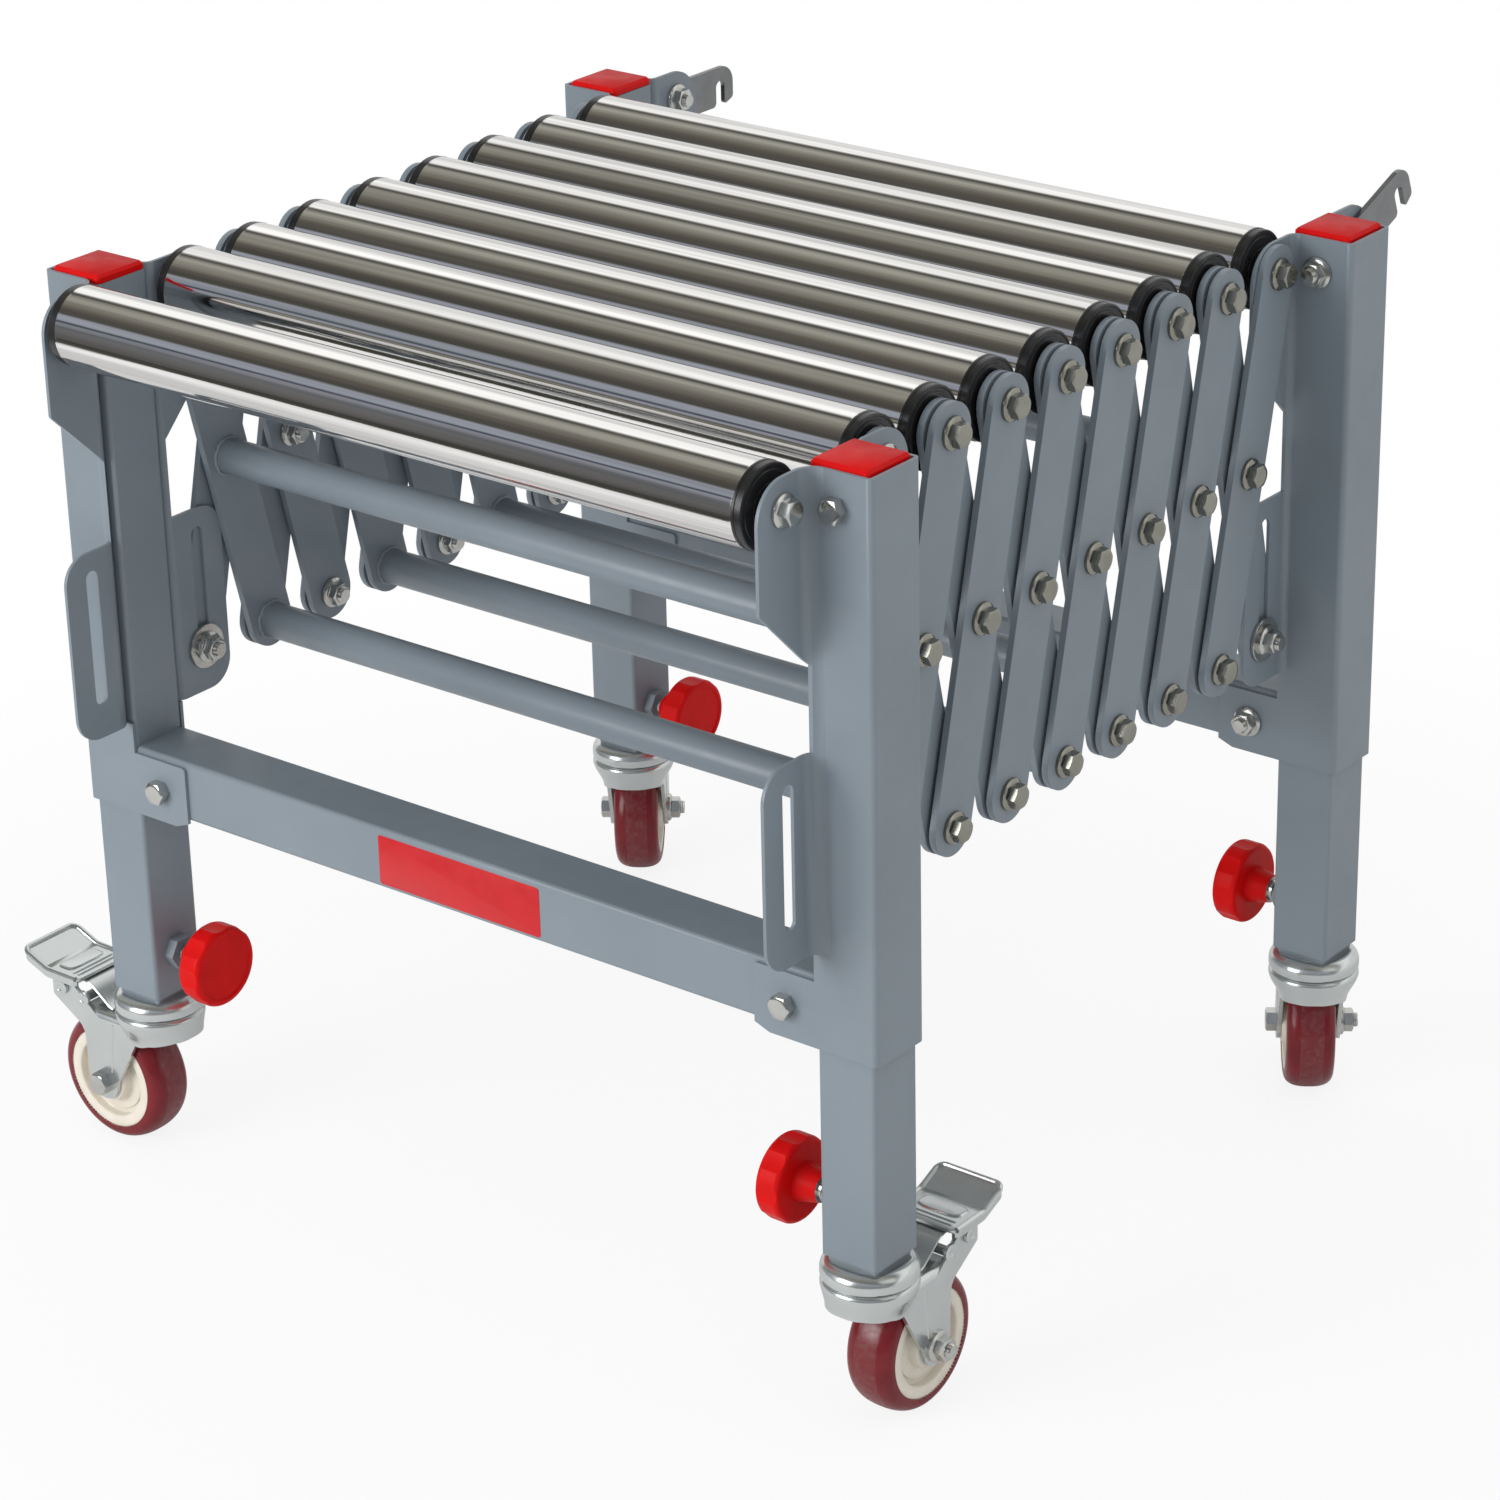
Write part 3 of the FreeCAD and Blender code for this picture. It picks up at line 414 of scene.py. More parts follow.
class Form:
    """Gathers turned, hexagonal and swept forms into one piece, drawn in millimetres."""

    def __init__(self, name, body, *materials):
        self.name, self.body, self.materials = name, body, materials
        self.points, self.faces, self.kinds = [], [], []
        self.kind = 0

    def loft(self, rings, place=Matrix.Identity(4), closed=False):
        """Skins closed rings; an open run of them is capped at both ends."""
        first, count = len(self.points), len(rings[0])
        for ring in rings:
            self.points += [place @ Vector(point) for point in ring]
        last = len(rings) if closed else len(rings) - 1
        for row in range(last):
            low = first + row * count
            high = first + (row + 1) % len(rings) * count
            for i in range(count):
                j = (i + 1) % count
                self.faces.append((low + i, low + j, high + j, high + i))
        if not closed:
            end = first + (len(rings) - 1) * count
            self.faces.append(tuple(reversed(range(first, first + count))))
            self.faces.append(tuple(range(end, end + count)))
        self.kinds += [self.kind] * (len(self.faces) - len(self.kinds))

    def turn(self, profile, place, closed=False, steps=TURN_STEPS):
        """Turns a profile of (height, radius) about the place's own axis."""
        self.loft([circle(radius, height, steps) for height, radius in profile], place, closed)

    def sweep(self, path, section, place=Matrix.Identity(4), closed=False):
        """Carries a section of (across, up) offsets along a path, without twisting it."""
        rings = []
        across = None
        for i, point in enumerate(path):
            before = path[i - 1] if i or closed else point
            after = path[(i + 1) % len(path)] if i + 1 < len(path) or closed else point
            ahead = (Vector(after) - Vector(before)).normalized()
            if across is None:
                across = Vector((0, 1, 0)) if abs(ahead.y) < 0.9 else Vector((1, 0, 0))
            across = (across - ahead * across.dot(ahead)).normalized()
            up = ahead.cross(across)
            rings.append([Vector(point) + across * a + up * b for a, b in section])
        self.loft(rings, place, closed)

    def finish(self):
        mesh = bpy.data.meshes.new(self.name)
        mesh.from_pydata([point * MM for point in self.points], [], self.faces)
        for material in self.materials:
            mesh.materials.append(material)
        for face, kind in zip(mesh.polygons, self.kinds):
            face.material_index = kind
            face.use_smooth = True
        mesh.set_sharp_from_angle(angle=SMOOTH_ANGLE)
        made = bpy.data.objects.new(self.name, mesh)
        bpy.context.scene.collection.objects.link(made)
        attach(made, self.body)


def circle(radius, height, steps=TURN_STEPS):
    spots = [2 * math.pi * i / steps for i in range(steps)]
    return [(radius * math.cos(spot), radius * math.sin(spot), height) for spot in spots]


def round_section(radius, steps=10):
    return [(a, b) for a, b, _ in circle(radius, 0, steps)]


def seat(origin, direction):
    """The frame of a fastener: its axis along direction, a hexagon corner level with it."""
    axis = Vector(direction).normalized()
    corner = Vector((0, 0, 1)).cross(axis)
    turn = Matrix((corner, axis.cross(corner), axis)).transposed().to_4x4()
    return Matrix.Translation(Vector(origin)) @ turn


def hexagon(form, place, low, height, rise=0.0):
    """A hexagon with the corners of its top turned off and its middle raised or sunk."""
    flat = HEX_ACROSS / 2
    crown = flat * HEX_CROWN_SHARE
    top = low + height + HEX_CROWN_RISE
    side, rim = [], []
    for x, y, _ in circle(1, 0):
        angle = math.atan2(y, x)
        reach = flat / math.cos((angle % (math.pi / 3)) - math.pi / 6)
        side.append((x * reach, y * reach, low))
        rim.append((x * reach, y * reach, top - (reach - crown) * HEX_CHAMFER))
    middle = [circle(crown * share, top + rise * lift) for share, lift in ((0.75, 0.6), (0.45, 0.9))]
    form.loft([side, rim, circle(crown, top), *middle, circle(0.3, top + rise)], place)
    return top


def flange(form, place):
    form.turn(FLANGE, place)


def thread(form, place, low, length):
    """A thread end as close rings with a chamfered tip."""
    profile = [(low, THREAD_ROOT)]
    height = low
    while height + THREAD_PITCH < low + length:
        profile += [(height + THREAD_PITCH * share, THREAD_RADIUS) for share in (0.4, 0.6)]
        height += THREAD_PITCH
        profile.append((height, THREAD_ROOT))
    profile += [(low + length, THREAD_ROOT - THREAD_CHAMFER), (low + length + 0.05, 0.3)]
    form.turn(profile, place)


def bolt_head(form, origin, direction, flanged=True):
    place = seat(origin, direction)
    if flanged:
        flange(form, place)
        hexagon(form, place, FLANGE_TOP, HEX_HEIGHT, FLANGED_DISH)
    else:
        hexagon(form, place, 0, HEX_HEIGHT, PLAIN_DOME)


def nut(form, origin, direction):
    place = seat(origin, direction)
    flange(form, place)
    top = hexagon(form, place, FLANGE_TOP, HEX_HEIGHT)
    thread(form, place, top - THREAD_SINK, THREAD_END + THREAD_SINK)


def slot_washer(form, origin, direction):
    """A turned washer from its seat, just over the plain one."""
    edge = SLOT_WASHER_RADIUS + WASHER_PROUD
    profile = [
        (0, edge - WASHER_BEVEL),
        (WASHER_BEVEL, edge),
        (SLOT_WASHER_SHEET - WASHER_BEVEL, edge),
        (SLOT_WASHER_SHEET + 0.05, edge - 0.4),
        (SLOT_WASHER_SHEET + 0.1, WASHER_BORE),
    ]
    form.turn(profile, seat(origin, direction))


def station(number):
    return FIRST_STATION + PAIR_PITCH * number


def mid_station(pair):
    return (station(pair) + station(pair - 1)) / 2


def frame_fasteners(end, body):
    form = Form(body + "_bolt_detail", body, STEEL)
    for side in SIDES:
        for x, z in ((POST_X, POST_BOLT_HEIGHT), (GUSSET_BOLT_X, GUSSET_BOLT_HEIGHT)):
            bolt_head(form, (side * x, end * (POST_Y + POST_FACE), z), (0, end, 0), flanged=False)
            nut(form, (side * x, end * (POST_Y - POST_FACE), z), (0, -end, 0))
        if end < 0:
            for reach in (-EAR_REACH, EAR_REACH):
                bolt_head(form, (side * EAR_OUTER, -POST_Y + reach, PIVOT_HEIGHT), (side, 0, 0))
        else:
            y = POST_Y + EAR_REACH
            nut(form, (side * HOOK_OUTER, y, PIVOT_HEIGHT), (side, 0, 0))
            nut(form, (side * EAR_INNER, y, PIVOT_HEIGHT), (-side, 0, 0))
    form.finish()


def link_fasteners(pair):
    """Heads outside and nuts inside, at the top, middle and bottom of one pair of outer links."""
    body = "outer_link_%d" % pair
    form = Form(body + "_bolt_detail", body, STEEL, LINK_STEEL)
    middle = mid_station(pair)
    for side in SIDES:
        outward, inward = (side, 0, 0), (-side, 0, 0)
        form.kind = 1
        bolt_head(form, (side * OUTER_LINK_FACE, station(pair), PIVOT_HEIGHT), outward)
        bolt_head(form, (side * OUTER_LINK_FACE, middle, MID_HEIGHT), outward)
        bolt_head(form, (side * OUTER_LINK_FACE, station(pair - 1), LOW_HEIGHT), outward)
        form.kind = 0
        if pair not in (1, LAST_PAIR):
            nut(form, (side * INNER_NUT_SEAT, middle, MID_HEIGHT), inward)
        if pair == 1:
            slot_washer(form, (side * (SLOT_WASHER_INNER + SLOT_WASHER_SHEET), station(0), LOW_HEIGHT), inward)
            nut(form, (side * SLOT_WASHER_INNER, station(0), LOW_HEIGHT), inward)
        elif pair % 2 == 1:
            nut(form, (side * INNER_NUT_SEAT, station(pair - 1), LOW_HEIGHT), inward)
    form.finish()


def slide_fasteners():
    """Washers and nuts of the bolts that slide in the rear posts' slots."""
    last = station(LAST_PAIR)
    form = Form("rear_slide_detail", "inner_link_%d" % LAST_PAIR, STEEL)
    for side in SIDES:
        slot_washer(form, (side * (SLOT_WASHER_OUTER - SLOT_WASHER_SHEET), last, LOW_HEIGHT), (side, 0, 0))
        nut(form, (side * SLOT_WASHER_OUTER, last, LOW_HEIGHT), (side, 0, 0))
        bolt_head(form, (side * INNER_LINK_NEAR, last, LOW_HEIGHT), (-side, 0, 0))
    form.finish()


# Weld bead: its section, and how it wanders round the tube and off the link
BEAD_RADIUS = 1.5
BEAD_LIFT = 0.3
BEAD_INSET = 0.5


def tube_welds(pair, spots):
    """Uneven weld beads round the ends of a pair's cross tubes."""
    body = "inner_link_%d" % pair
    form = Form(body + "_welds", body, PAINT)
    for y, z in spots:
        for side in SIDES:
            path = []
            for i in range(TURN_STEPS):
                angle = 2 * math.pi * i / TURN_STEPS
                reach = TUBE_RADIUS + BEAD_LIFT + 0.25 * math.sin(7 * angle + y) + 0.2 * math.sin(17 * angle)
                x = side * (INNER_LINK_NEAR - BEAD_INSET - 0.3 * math.sin(11 * angle + side))
                path.append((x, y + reach * math.cos(angle), z + reach * math.sin(angle)))
            form.sweep(path, round_section(BEAD_RADIUS), closed=True)
    form.finish()


def corner_place(corner):
    """The frame of a caster as the CAD draws it: the trail along +X from the leg's axis."""
    end, side = corner.split("_")
    x = POST_X if side == "right" else -POST_X
    y = POST_Y if end == "rear" else -POST_Y
    return Matrix.Translation((x, y, 0)) @ Matrix.Rotation(math.radians(CORNER_ANGLES[corner]), 4, "Z")


def rivet(form, place, spot, side, radius):
    x, y, z = spot
    turn = place.to_3x3()
    head = seat(place @ Vector((x, side * y, z)), turn @ Vector((0, side, 0)))
    profile = [(0, radius + 0.2), (2.3, radius + 0.15), (2.9, radius * 0.8)]
    dimple = [(3.0, radius * 0.5), (2.5, radius * 0.36), (2.4, 0.2)]
    form.turn(profile + dimple, head)


# Skirt of a fork's crown, from the lower race down over the front of the fork
SKIRT_TOP = 112.6
SKIRT_REACH = 32.9
SKIRT_SHEET = 1.2
SKIRT_FRONT_LOW = 98.4
SKIRT_SIDE_DROP = 8.0
SKIRT_SPAN = 112
SKIRT_STEP = 4
SKIRT_ROWS = 10
SKIRT_GAP = 0.4
SKIRT_BEND_START = 35
SKIRT_BEND_SPAN = 60
FORK_FRONT = 31.0
FORK_CORNER = 20.0

# Crease pressed in each fork cheek, and the brake's spring plate along the caster's middle
CREASE_FOOT = 60
CREASE_LENGTH = 40
CREASE_LEAN = 5
CREASE_SETBACK = 9
CREASE_POINTS = 8
CREASE_RADIUS = 1.2
CREASE_SINK = 0.7
SPRING_PATH = [(32, 0, 109), (36, 0, 110.2), (44, 0, 116.4), (52, 0, 122.3), (57, 0, 124.3), (64, 0, 125.2)]
SPRING_SECTION = [(-17, -0.8), (17, -0.8), (17.6, 0), (17, 0.8), (-17, 0.8), (-17.6, 0)]


def smooth(share):
    share = min(1.0, max(0.0, share))
    return share * share * (3 - 2 * share)


def fork_reach(angle):
    """How far the fork's outline lies from the king pin, at an angle from straight ahead."""
    ahead, across = math.cos(angle), abs(math.sin(angle))
    centre = (FORK_FRONT - FORK_CORNER, FORK_FACE - FORK_CORNER)
    if ahead > 0 and across * FORK_FRONT / ahead < centre[1]:
        return FORK_FRONT / ahead
    if ahead * FORK_FACE < centre[0] * across:
        return FORK_FACE / across
    along = ahead * centre[0] + across * centre[1]
    return along + math.sqrt(along**2 - centre[0] ** 2 - centre[1] ** 2 + FORK_CORNER**2)


def crown_skirt(form, place):
    """Drawn sheet from the round race to the square fork, lower at the sides."""
    rings = []
    for degrees in range(-SKIRT_SPAN, SKIRT_SPAN + 1, SKIRT_STEP):
        angle = math.radians(degrees)
        near = fork_reach(angle) + SKIRT_GAP
        low = SKIRT_FRONT_LOW - SKIRT_SIDE_DROP * smooth((abs(degrees) - SKIRT_BEND_START) / SKIRT_BEND_SPAN)
        section = []
        for i in range(SKIRT_ROWS + 1):
            reach = near + (SKIRT_REACH - near) * (1 - smooth(i / SKIRT_ROWS))
            section.append((reach, SKIRT_TOP + (low - SKIRT_TOP) * i / SKIRT_ROWS))
        section += [(reach - SKIRT_SHEET, height + 0.1) for reach, height in reversed(section)]
        rings.append([(-r * math.cos(angle), r * math.sin(angle), height) for r, height in section])
    form.loft(rings, place)


def caster_detail(corner):
    """Axle bolt, crown skirt and cheek creases; in front also the brake's rivets and spring."""
    place = corner_place(corner)
    turn = place.to_3x3()
    form = Form("caster_detail_" + corner, "caster_" + corner, PLATED, STEEL)
    axle = Vector((AXLE_TRAIL, 0, AXLE_HEIGHT))
    reach = Vector((0, FORK_FACE, 0))
    form.kind = 1
    bolt_head(form, place @ (axle + reach), turn @ Vector((0, 1, 0)), flanged=False)
    nut(form, place @ (axle - reach), turn @ Vector((0, -1, 0)))
    form.kind = 0
    crown_skirt(form, place)
    for side in SIDES:
        crease = []
        for i in range(CREASE_POINTS + 1):
            x = AXLE_TRAIL - CREASE_SETBACK - CREASE_LEAN * i / CREASE_POINTS
            z = CREASE_FOOT + CREASE_LENGTH / CREASE_POINTS * i
            crease.append((x, side * (FORK_FACE - CREASE_SINK), z))
        form.sweep(crease, round_section(CREASE_RADIUS), place)
    if corner.startswith("front"):
        for side in SIDES:
            rivet(form, place, BRAKE_PIN, side, BRAKE_RIVET)
        form.sweep(SPRING_PATH, SPRING_SECTION, place)
    form.finish()


# Wheel, just over the one of the CAD, as (height from the middle, radius)
TYRE_HALF = 18.15
TYRE_SEAT = 39.0
TYRE_DEPTH = 11.2
TYRE_SQUARENESS = 2.6
TYRE_POINTS = 36
TYRE_STEPS = 96
WORN_HALF = 8.0
HUB_SIDE = [
    (9.0, 39.2),
    (16.4, 39.2),
    (17.2, 38.8),
    (17.5, 38.0),
    (17.5, 31.6),
    (17.1, 30.9),
    (11.2, 30.2),
    (10.8, 29.6),
    (10.8, 26.8),
    (12.2, 26.3),
    (12.5, 25.6),
    (12.5, 19.4),
    (13.2, 18.5),
    (17.6, 17.3),
    (19.3, 16.9),
    (19.8, 16.5),
    (19.9, 12.0),
    (9.0, 12.0),
]


def wheel_detail(corner):
    """Rounded tyre with a worn tread, and a stepped hub in it on both sides."""
    place = corner_place(corner)
    middle = place @ Vector((AXLE_TRAIL, 0, AXLE_HEIGHT))
    across = place.to_3x3() @ Vector((0, 1, 0))
    form = Form("wheel_detail_" + corner, "wheel_" + corner, TYRE, HUB, TREAD)
    profile = []
    for i in range(TYRE_POINTS + 1):
        angle = math.pi * i / TYRE_POINTS
        along, out = math.cos(angle), max(0.0, math.sin(angle))
        height = math.copysign(TYRE_HALF * abs(along) ** (2 / TYRE_SQUARENESS), along)
        profile.append((height, TYRE_SEAT + TYRE_DEPTH * out ** (2 / TYRE_SQUARENESS)))
    form.turn(profile, seat(middle, across), True, TYRE_STEPS)
    for row, (height, _) in enumerate(profile):
        if abs(height) < WORN_HALF:
            form.kinds[row * TYRE_STEPS : (row + 1) * TYRE_STEPS] = [2] * TYRE_STEPS
    form.kind = 1
    for side in SIDES:
        form.turn(HUB_SIDE, seat(middle, across * side), True, TYRE_STEPS)
    form.finish()


# Roller ends from the end of the tube outwards, as (height, radius)
ROLLER_TUBE_END = 287.75
ROLLER_CAP = [
    (-0.5, 27.2),
    (0.1, 27.75),
    (4.6, 27.75),
    (5.3, 27.2),
    (5.4, 25.9),
    (4.9, 25.5),
    (4.7, 23.4),
    (5.3, 23.0),
    (5.3, 21.6),
    (4.3, 21.2),
    (4.2, 15.5),
    (5.6, 15.0),
    (5.7, 9.0),
]
ROLLER_COLLAR = [(-1.9, 27.8), (-1.8, 28.16), (-0.2, 28.16), (0.2, 27.9), (0.3, 27.2)]
ROLLER_LIP = [(-3.2, 27.6), (-3.1, 28.06), (-2.1, 28.1), (-1.8, 27.9)]

# Tread of a brake pedal in its caster's frame
PEDAL_HEEL = 60.0
PEDAL_KNEE = 90.0
PEDAL_TOE = 113.0
PEDAL_HALF = 25.8
PEDAL_CORNER = 6.0
PEDAL_TOP = 129.0
PEDAL_SLOPE = 10 / 24
PEDAL_BLEND = 2.4
PEDAL_RIM = 2.1
PEDAL_EDGE_POINTS = 20
PEDAL_CORNER_POINTS = 8
PEDAL_RIBS = (63.5, 68.0)
PEDAL_RIB_RADIUS = 1.7
PEDAL_RIB_SINK = 0.7
PEDAL_RIB_POINTS = 6
PEDAL_RIB_PITCH = 3.2
PANEL_X = 80.0
PANEL_HALF_X = 8.0
PANEL_HALF_Y = 18.5
PANEL_RISE = ((1.0, -0.2), (0.97, 0.5), (0.9, 1.1), (0.84, 1.2), (0.02, 1.2))


def tread_height(x):
    ahead = x - PEDAL_KNEE
    if ahead <= -PEDAL_BLEND:
        return PEDAL_TOP
    if ahead >= PEDAL_BLEND:
        return PEDAL_TOP + PEDAL_SLOPE * ahead
    return PEDAL_TOP + PEDAL_SLOPE * (ahead + PEDAL_BLEND) ** 2 / (4 * PEDAL_BLEND)


def pedal_detail(corner):
    """Rivets, rolled rim, two ribs and a raised panel of a brake pedal."""
    place = corner_place(corner)
    form = Form("pedal_detail_" + corner, "pedal_" + corner, PLATED)
    for side in SIDES:
        rivet(form, place, PEDAL_PIN, side, PEDAL_RIVET)
    edge = []
    straight = PEDAL_TOE - PEDAL_CORNER
    for i in range(PEDAL_EDGE_POINTS + 1):
        edge.append((PEDAL_HEEL + (straight - PEDAL_HEEL) * i / PEDAL_EDGE_POINTS, -PEDAL_HALF))
    for i in range(1, PEDAL_CORNER_POINTS + 1):
        angle = math.pi / 2 * i / PEDAL_CORNER_POINTS
        y = -PEDAL_HALF + PEDAL_CORNER * (1 - math.cos(angle))
        edge.append((straight + PEDAL_CORNER * math.sin(angle), y))
    edge += [(x, -y) for x, y in reversed(edge)]
    form.sweep([(x, y, tread_height(x)) for x, y in edge], round_section(PEDAL_RIM), place)
    for x in PEDAL_RIBS:
        rib = []
        for i in range(-PEDAL_RIB_POINTS, PEDAL_RIB_POINTS + 1):
            drop = 0.4 * (abs(i) == PEDAL_RIB_POINTS)
            rib.append((x, i * PEDAL_RIB_PITCH, PEDAL_TOP - PEDAL_RIB_SINK - drop))
        form.sweep(rib, round_section(PEDAL_RIB_RADIUS), place)
    rings = []
    for share, rise in PANEL_RISE:
        ring = []
        for a, b, _ in circle(1, 0):
            x = PANEL_X + PANEL_HALF_X * share * math.copysign(abs(a) ** 0.5, a)
            y = PANEL_HALF_Y * share * math.copysign(abs(b) ** 0.5, b)
            ring.append((x, y, tread_height(x) + rise))
        rings.append(ring)
    form.loft(rings, place)
    form.finish()


def roller_detail(number):
    """Stepped black end beyond the tube and the bright lip of the tube at both sides."""
    body = "roller_%d" % number
    axle = Vector(joints[body + "_spin"]["pos_m"]) / MM
    form = Form(body + "_ends", body, BLACK, BRIGHT)
    for side in SIDES:
        place = seat((side * ROLLER_TUBE_END, axle.y, axle.z), (side, 0, 0))
        form.kind = 0
        form.turn(ROLLER_CAP, place)
        form.turn(ROLLER_COLLAR, place)
        form.kind = 1
        form.turn(ROLLER_LIP, place)
    form.finish()


def knob_detail(corner):
    """Thread of the clamping stud between its weld nut and the knob."""
    end, side_name = corner.split("_")
    side = 1 if side_name == "right" else -1
    y = POST_Y if end == "rear" else -POST_Y
    form = Form("stud_thread_" + corner, "knob_" + corner, STEEL)
    thread(form, seat((side * (POST_X - STUD_SEAT), y, KNOB_HEIGHT), (-side, 0, 0)), 0, STUD_THREAD)
    form.finish()


# Plain label on the front crossbar, in millimetres
LABEL_LEFT = -72.0
LABEL_RIGHT = 71.0
LABEL_LOW = 294.5
LABEL_HIGH = 331.0
LABEL_FACE = -294.0
LABEL_THICKNESS = 0.35
LABEL_CORNER = 2.5
LABEL_CORNER_POINTS = 6
LABEL_SINK = 0.05
LABEL_ROUNDING = 0.3


def label():
    """A bare vinyl label with rounded corners."""
    outline = []
    inset = LABEL_CORNER
    centres = (
        (LABEL_RIGHT - inset, LABEL_HIGH - inset, 0),
        (LABEL_LEFT + inset, LABEL_HIGH - inset, 1),
        (LABEL_LEFT + inset, LABEL_LOW + inset, 2),
        (LABEL_RIGHT - inset, LABEL_LOW + inset, 3),
    )
    for x, z, quarter in centres:
        for i in range(LABEL_CORNER_POINTS + 1):
            angle = math.pi / 2 * (quarter + i / LABEL_CORNER_POINTS)
            outline.append((x, z, math.cos(angle), math.sin(angle)))
    form = Form("front_label", "front_frame", VINYL)
    rings = []
    steps = (
        (-LABEL_SINK, inset),
        (LABEL_THICKNESS * 0.6, inset),
        (LABEL_THICKNESS, inset - LABEL_ROUNDING),
    )
    for depth, reach in steps:
        rings.append([(x + reach * a, LABEL_FACE - depth, z + reach * b) for x, z, a, b in outline])
    form.loft(rings)
    form.finish()


frame_fasteners(-1, "front_frame")
frame_fasteners(1, "rear_frame")
for pair in PAIRS:
    link_fasteners(pair)
slide_fasteners()
for pair in PAIRS[::2]:
    ends = [(station(pair), LOW_HEIGHT)] if pair < LAST_PAIR else []
    if pair in (1, LAST_PAIR):
        ends.append((mid_station(pair), MID_HEIGHT))
    tube_welds(pair, ends)
for number in range(1, 10):
    roller_detail(number)
for corner in CORNER_ANGLES:
    caster_detail(corner)
    wheel_detail(corner)
    knob_detail(corner)
    if corner.startswith("front"):
        pedal_detail(corner)
label()


def camera():
    data = bpy.data.cameras.new("camera")
    data.sensor_width = SENSOR_WIDTH
    data.lens = FOCAL_PIXELS / PHOTO_SIDE * SENSOR_WIDTH
    made = bpy.data.objects.new("camera", data)
    bpy.context.scene.collection.objects.link(made)
    azimuth, elevation = math.radians(CAMERA_AZIMUTH), math.radians(CAMERA_ELEVATION)
    back = Vector((
        math.sin(azimuth) * math.cos(elevation),
        -math.cos(azimuth) * math.cos(elevation),
        math.sin(elevation),
    ))
    turn = back.to_track_quat("Z", "Y").to_matrix().to_4x4()
    roll = Matrix.Rotation(math.radians(CAMERA_ROLL), 4, "Z")
    made.matrix_world = Matrix.Translation(CAMERA_PLACE) @ turn @ roll
    bpy.context.scene.camera = made


# Pale floor that fades into the white room, in metres from its middle
FLOOR_SIDE = 2.4
FLOOR_CLOUD_SCALE = 1.2
FLOOR_GREYS = ((0.88, 0.88, 0.88), (0.90, 0.90, 0.90))
FLOOR_ROUGHNESS = 0.9
FLOOR_WHITE = 0.86
FLOOR_FADE_START = 0.6
FLOOR_FADE_END = 1.15


def floor():
    bpy.ops.mesh.primitive_plane_add(size=FLOOR_SIDE)
    made = bpy.context.object
    made.name = "floor"
    finish = Finish("floor")
    finish.colour(finish.noise(FLOOR_CLOUD_SCALE), *FLOOR_GREYS)
    finish.set({"Roughness": FLOOR_ROUGHNESS})
    path = finish.add("ShaderNodeLightPath")
    glow = finish.add("ShaderNodeEmission")
    glow.inputs["Color"].default_value = rgba(WHITE)
    far = finish.add("ShaderNodeVectorMath", operation="LENGTH")
    finish.link(finish.place, far.inputs[0])
    fade = finish.add("ShaderNodeMapRange")
    fade.inputs["From Min"].default_value = FLOOR_FADE_START
    fade.inputs["From Max"].default_value = FLOOR_FADE_END
    fade.inputs["To Min"].default_value = FLOOR_WHITE
    fade.inputs["To Max"].default_value = 1.0
    finish.link(far.outputs["Value"], fade.inputs["Value"])
    share = finish.add("ShaderNodeMath", operation="MULTIPLY")
    finish.link(path.outputs["Is Camera Ray"], share.inputs[0])
    finish.link(fade.outputs["Result"], share.inputs[1])
    mix = finish.add("ShaderNodeMixShader")
    finish.link(share.outputs[0], mix.inputs[0])
    finish.link(finish.shader.outputs[0], mix.inputs[1])
    finish.link(glow.outputs[0], mix.inputs[2])
    finish.link(mix.outputs[0], finish.tree.nodes["Material Output"].inputs["Surface"])
    made.data.materials.append(finish.material)


def flagged():
    """The rollers, kept out of the lamps' light so that they mirror the room alone."""
    group = bpy.data.collections.new("flagged")
    for name, node in nodes.items():
        if name.startswith("roller_"):
            group.objects.link(node)
    for member in group.collection_objects:
        member.light_linking.link_state = "EXCLUDE"
    return group


# Lamps: place and target in metres, side of the square in metres, power in watts
FLAGGED = flagged()
LAMP_TARGET = (0.0, 0.0, 0.4)
KEY_PLACE, KEY_SIDE, KEY_WATTS = (-0.9, -2.9, 1.3), 1.6, 51.0
FILL_PLACE, FILL_SIDE, FILL_WATTS = (2.8, -0.4, 2.4), 2.0, 6.0


def lamp(name, place, size, watts):
    data = bpy.data.lights.new(name, "AREA")
    data.shape = "SQUARE"
    data.size = size
    data.energy = watts
    made = bpy.data.objects.new(name, data)
    made.location = place
    made.rotation_euler = (Vector(LAMP_TARGET) - Vector(place)).to_track_quat("-Z", "Y").to_euler()
    made.light_linking.receiver_collection = FLAGGED
    bpy.context.scene.collection.objects.link(made)


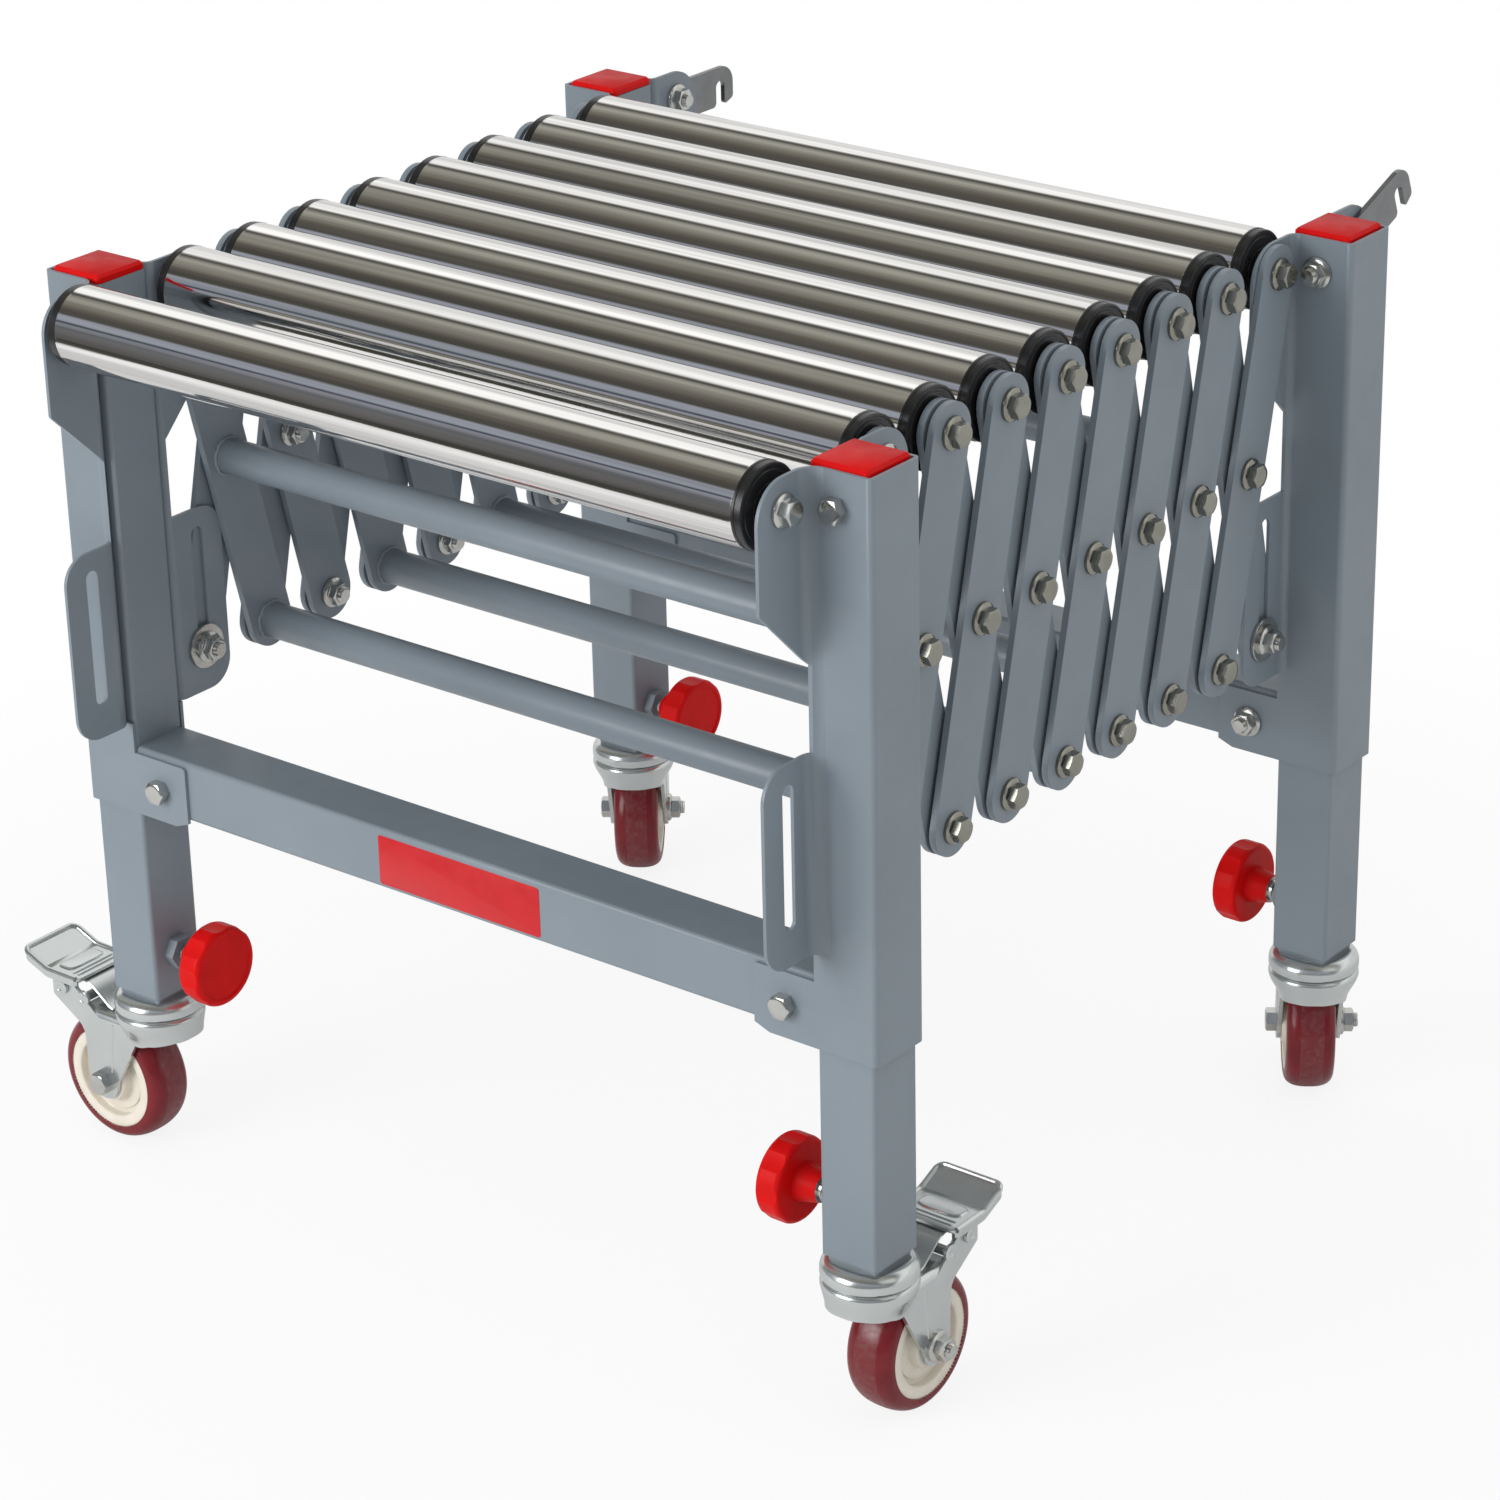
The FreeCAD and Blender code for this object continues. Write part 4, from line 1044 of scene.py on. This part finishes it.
# The room as polished metal sees it, by share of a turn from the rear horizon over the top to the front and under;
# AMBIENT is its even light on what isn't polished
ROOM_STOPS = [
    (0.000, (0.80, 0.80, 0.80)),
    (0.090, (0.88, 0.88, 0.88)),
    (0.110, (1.18, 1.18, 1.17)),
    (0.158, (1.18, 1.18, 1.17)),
    (0.170, (0.46, 0.45, 0.42)),
    (0.181, (0.10, 0.10, 0.09)),
    (0.192, (0.10, 0.10, 0.09)),
    (0.206, (0.28, 0.27, 0.24)),
    (0.230, (0.40, 0.39, 0.34)),
    (0.262, (0.34, 0.33, 0.28)),
    (0.292, (0.22, 0.21, 0.18)),
    (0.318, (0.13, 0.12, 0.10)),
    (0.345, (0.10, 0.09, 0.08)),
    (0.376, (0.08, 0.08, 0.07)),
    (0.388, (0.38, 0.40, 0.46)),
    (0.427, (0.35, 0.38, 0.44)),
    (0.433, (0.07, 0.08, 0.11)),
    (0.441, (0.07, 0.08, 0.11)),
    (0.447, (0.32, 0.33, 0.38)),
    (0.463, (0.28, 0.29, 0.33)),
    (0.474, (0.16, 0.17, 0.18)),
    (0.535, (0.16, 0.15, 0.15)),
    (0.560, (0.11, 0.11, 0.11)),
    (0.578, (0.05, 0.05, 0.04)),
    (0.602, (0.09, 0.09, 0.08)),
    (0.614, (0.86, 0.86, 0.85)),
    (0.760, (0.76, 0.76, 0.76)),
    (1.000, (0.80, 0.80, 0.80)),
]
AMBIENT = 0.72


def room():
    """White to the camera, banded in reflections and even as light."""
    world = bpy.data.worlds.new("room")
    bpy.context.scene.world = world
    world.use_nodes = True
    tree = world.node_tree
    tree.nodes.clear()

    def add(kind, **settings):
        node = tree.nodes.new(kind)
        for name, value in settings.items():
            setattr(node, name, value)
        return node

    split = add("ShaderNodeSeparateXYZ")
    tree.links.new(add("ShaderNodeTexCoord").outputs["Generated"], split.inputs[0])
    angle = add("ShaderNodeMath", operation="ARCTAN2")
    tree.links.new(split.outputs["Z"], angle.inputs[0])
    tree.links.new(split.outputs["Y"], angle.inputs[1])
    turns = add("ShaderNodeMath", operation="DIVIDE")
    turns.inputs[1].default_value = 2 * math.pi
    tree.links.new(angle.outputs[0], turns.inputs[0])
    share = add("ShaderNodeMath", operation="FRACT")
    tree.links.new(turns.outputs[0], share.inputs[0])
    ramp = add("ShaderNodeValToRGB")
    stops = ramp.color_ramp.elements
    while len(stops) < len(ROOM_STOPS):
        stops.new(0.5)
    for stop, (place_share, colour) in zip(stops, ROOM_STOPS):
        stop.position = place_share
        stop.color = rgba(colour)
    tree.links.new(share.outputs[0], ramp.inputs["Fac"])
    path = add("ShaderNodeLightPath")
    mirror = add("ShaderNodeMix", data_type="RGBA")
    mirror.inputs["A"].default_value = rgba((AMBIENT,) * 3)
    tree.links.new(path.outputs["Is Glossy Ray"], mirror.inputs["Factor"])
    tree.links.new(ramp.outputs["Color"], mirror.inputs["B"])
    seen = add("ShaderNodeMix", data_type="RGBA")
    tree.links.new(path.outputs["Is Camera Ray"], seen.inputs["Factor"])
    tree.links.new(mirror.outputs["Result"], seen.inputs["A"])
    seen.inputs["B"].default_value = rgba(WHITE)
    background = add("ShaderNodeBackground")
    tree.links.new(seen.outputs["Result"], background.inputs["Color"])
    output = add("ShaderNodeOutputWorld")
    tree.links.new(background.outputs[0], output.inputs["Surface"])


camera()
floor()
room()
lamp("key", KEY_PLACE, KEY_SIDE, KEY_WATTS)
lamp("fill", FILL_PLACE, FILL_SIDE, FILL_WATTS)
bpy.context.scene.view_settings.view_transform = "Standard"
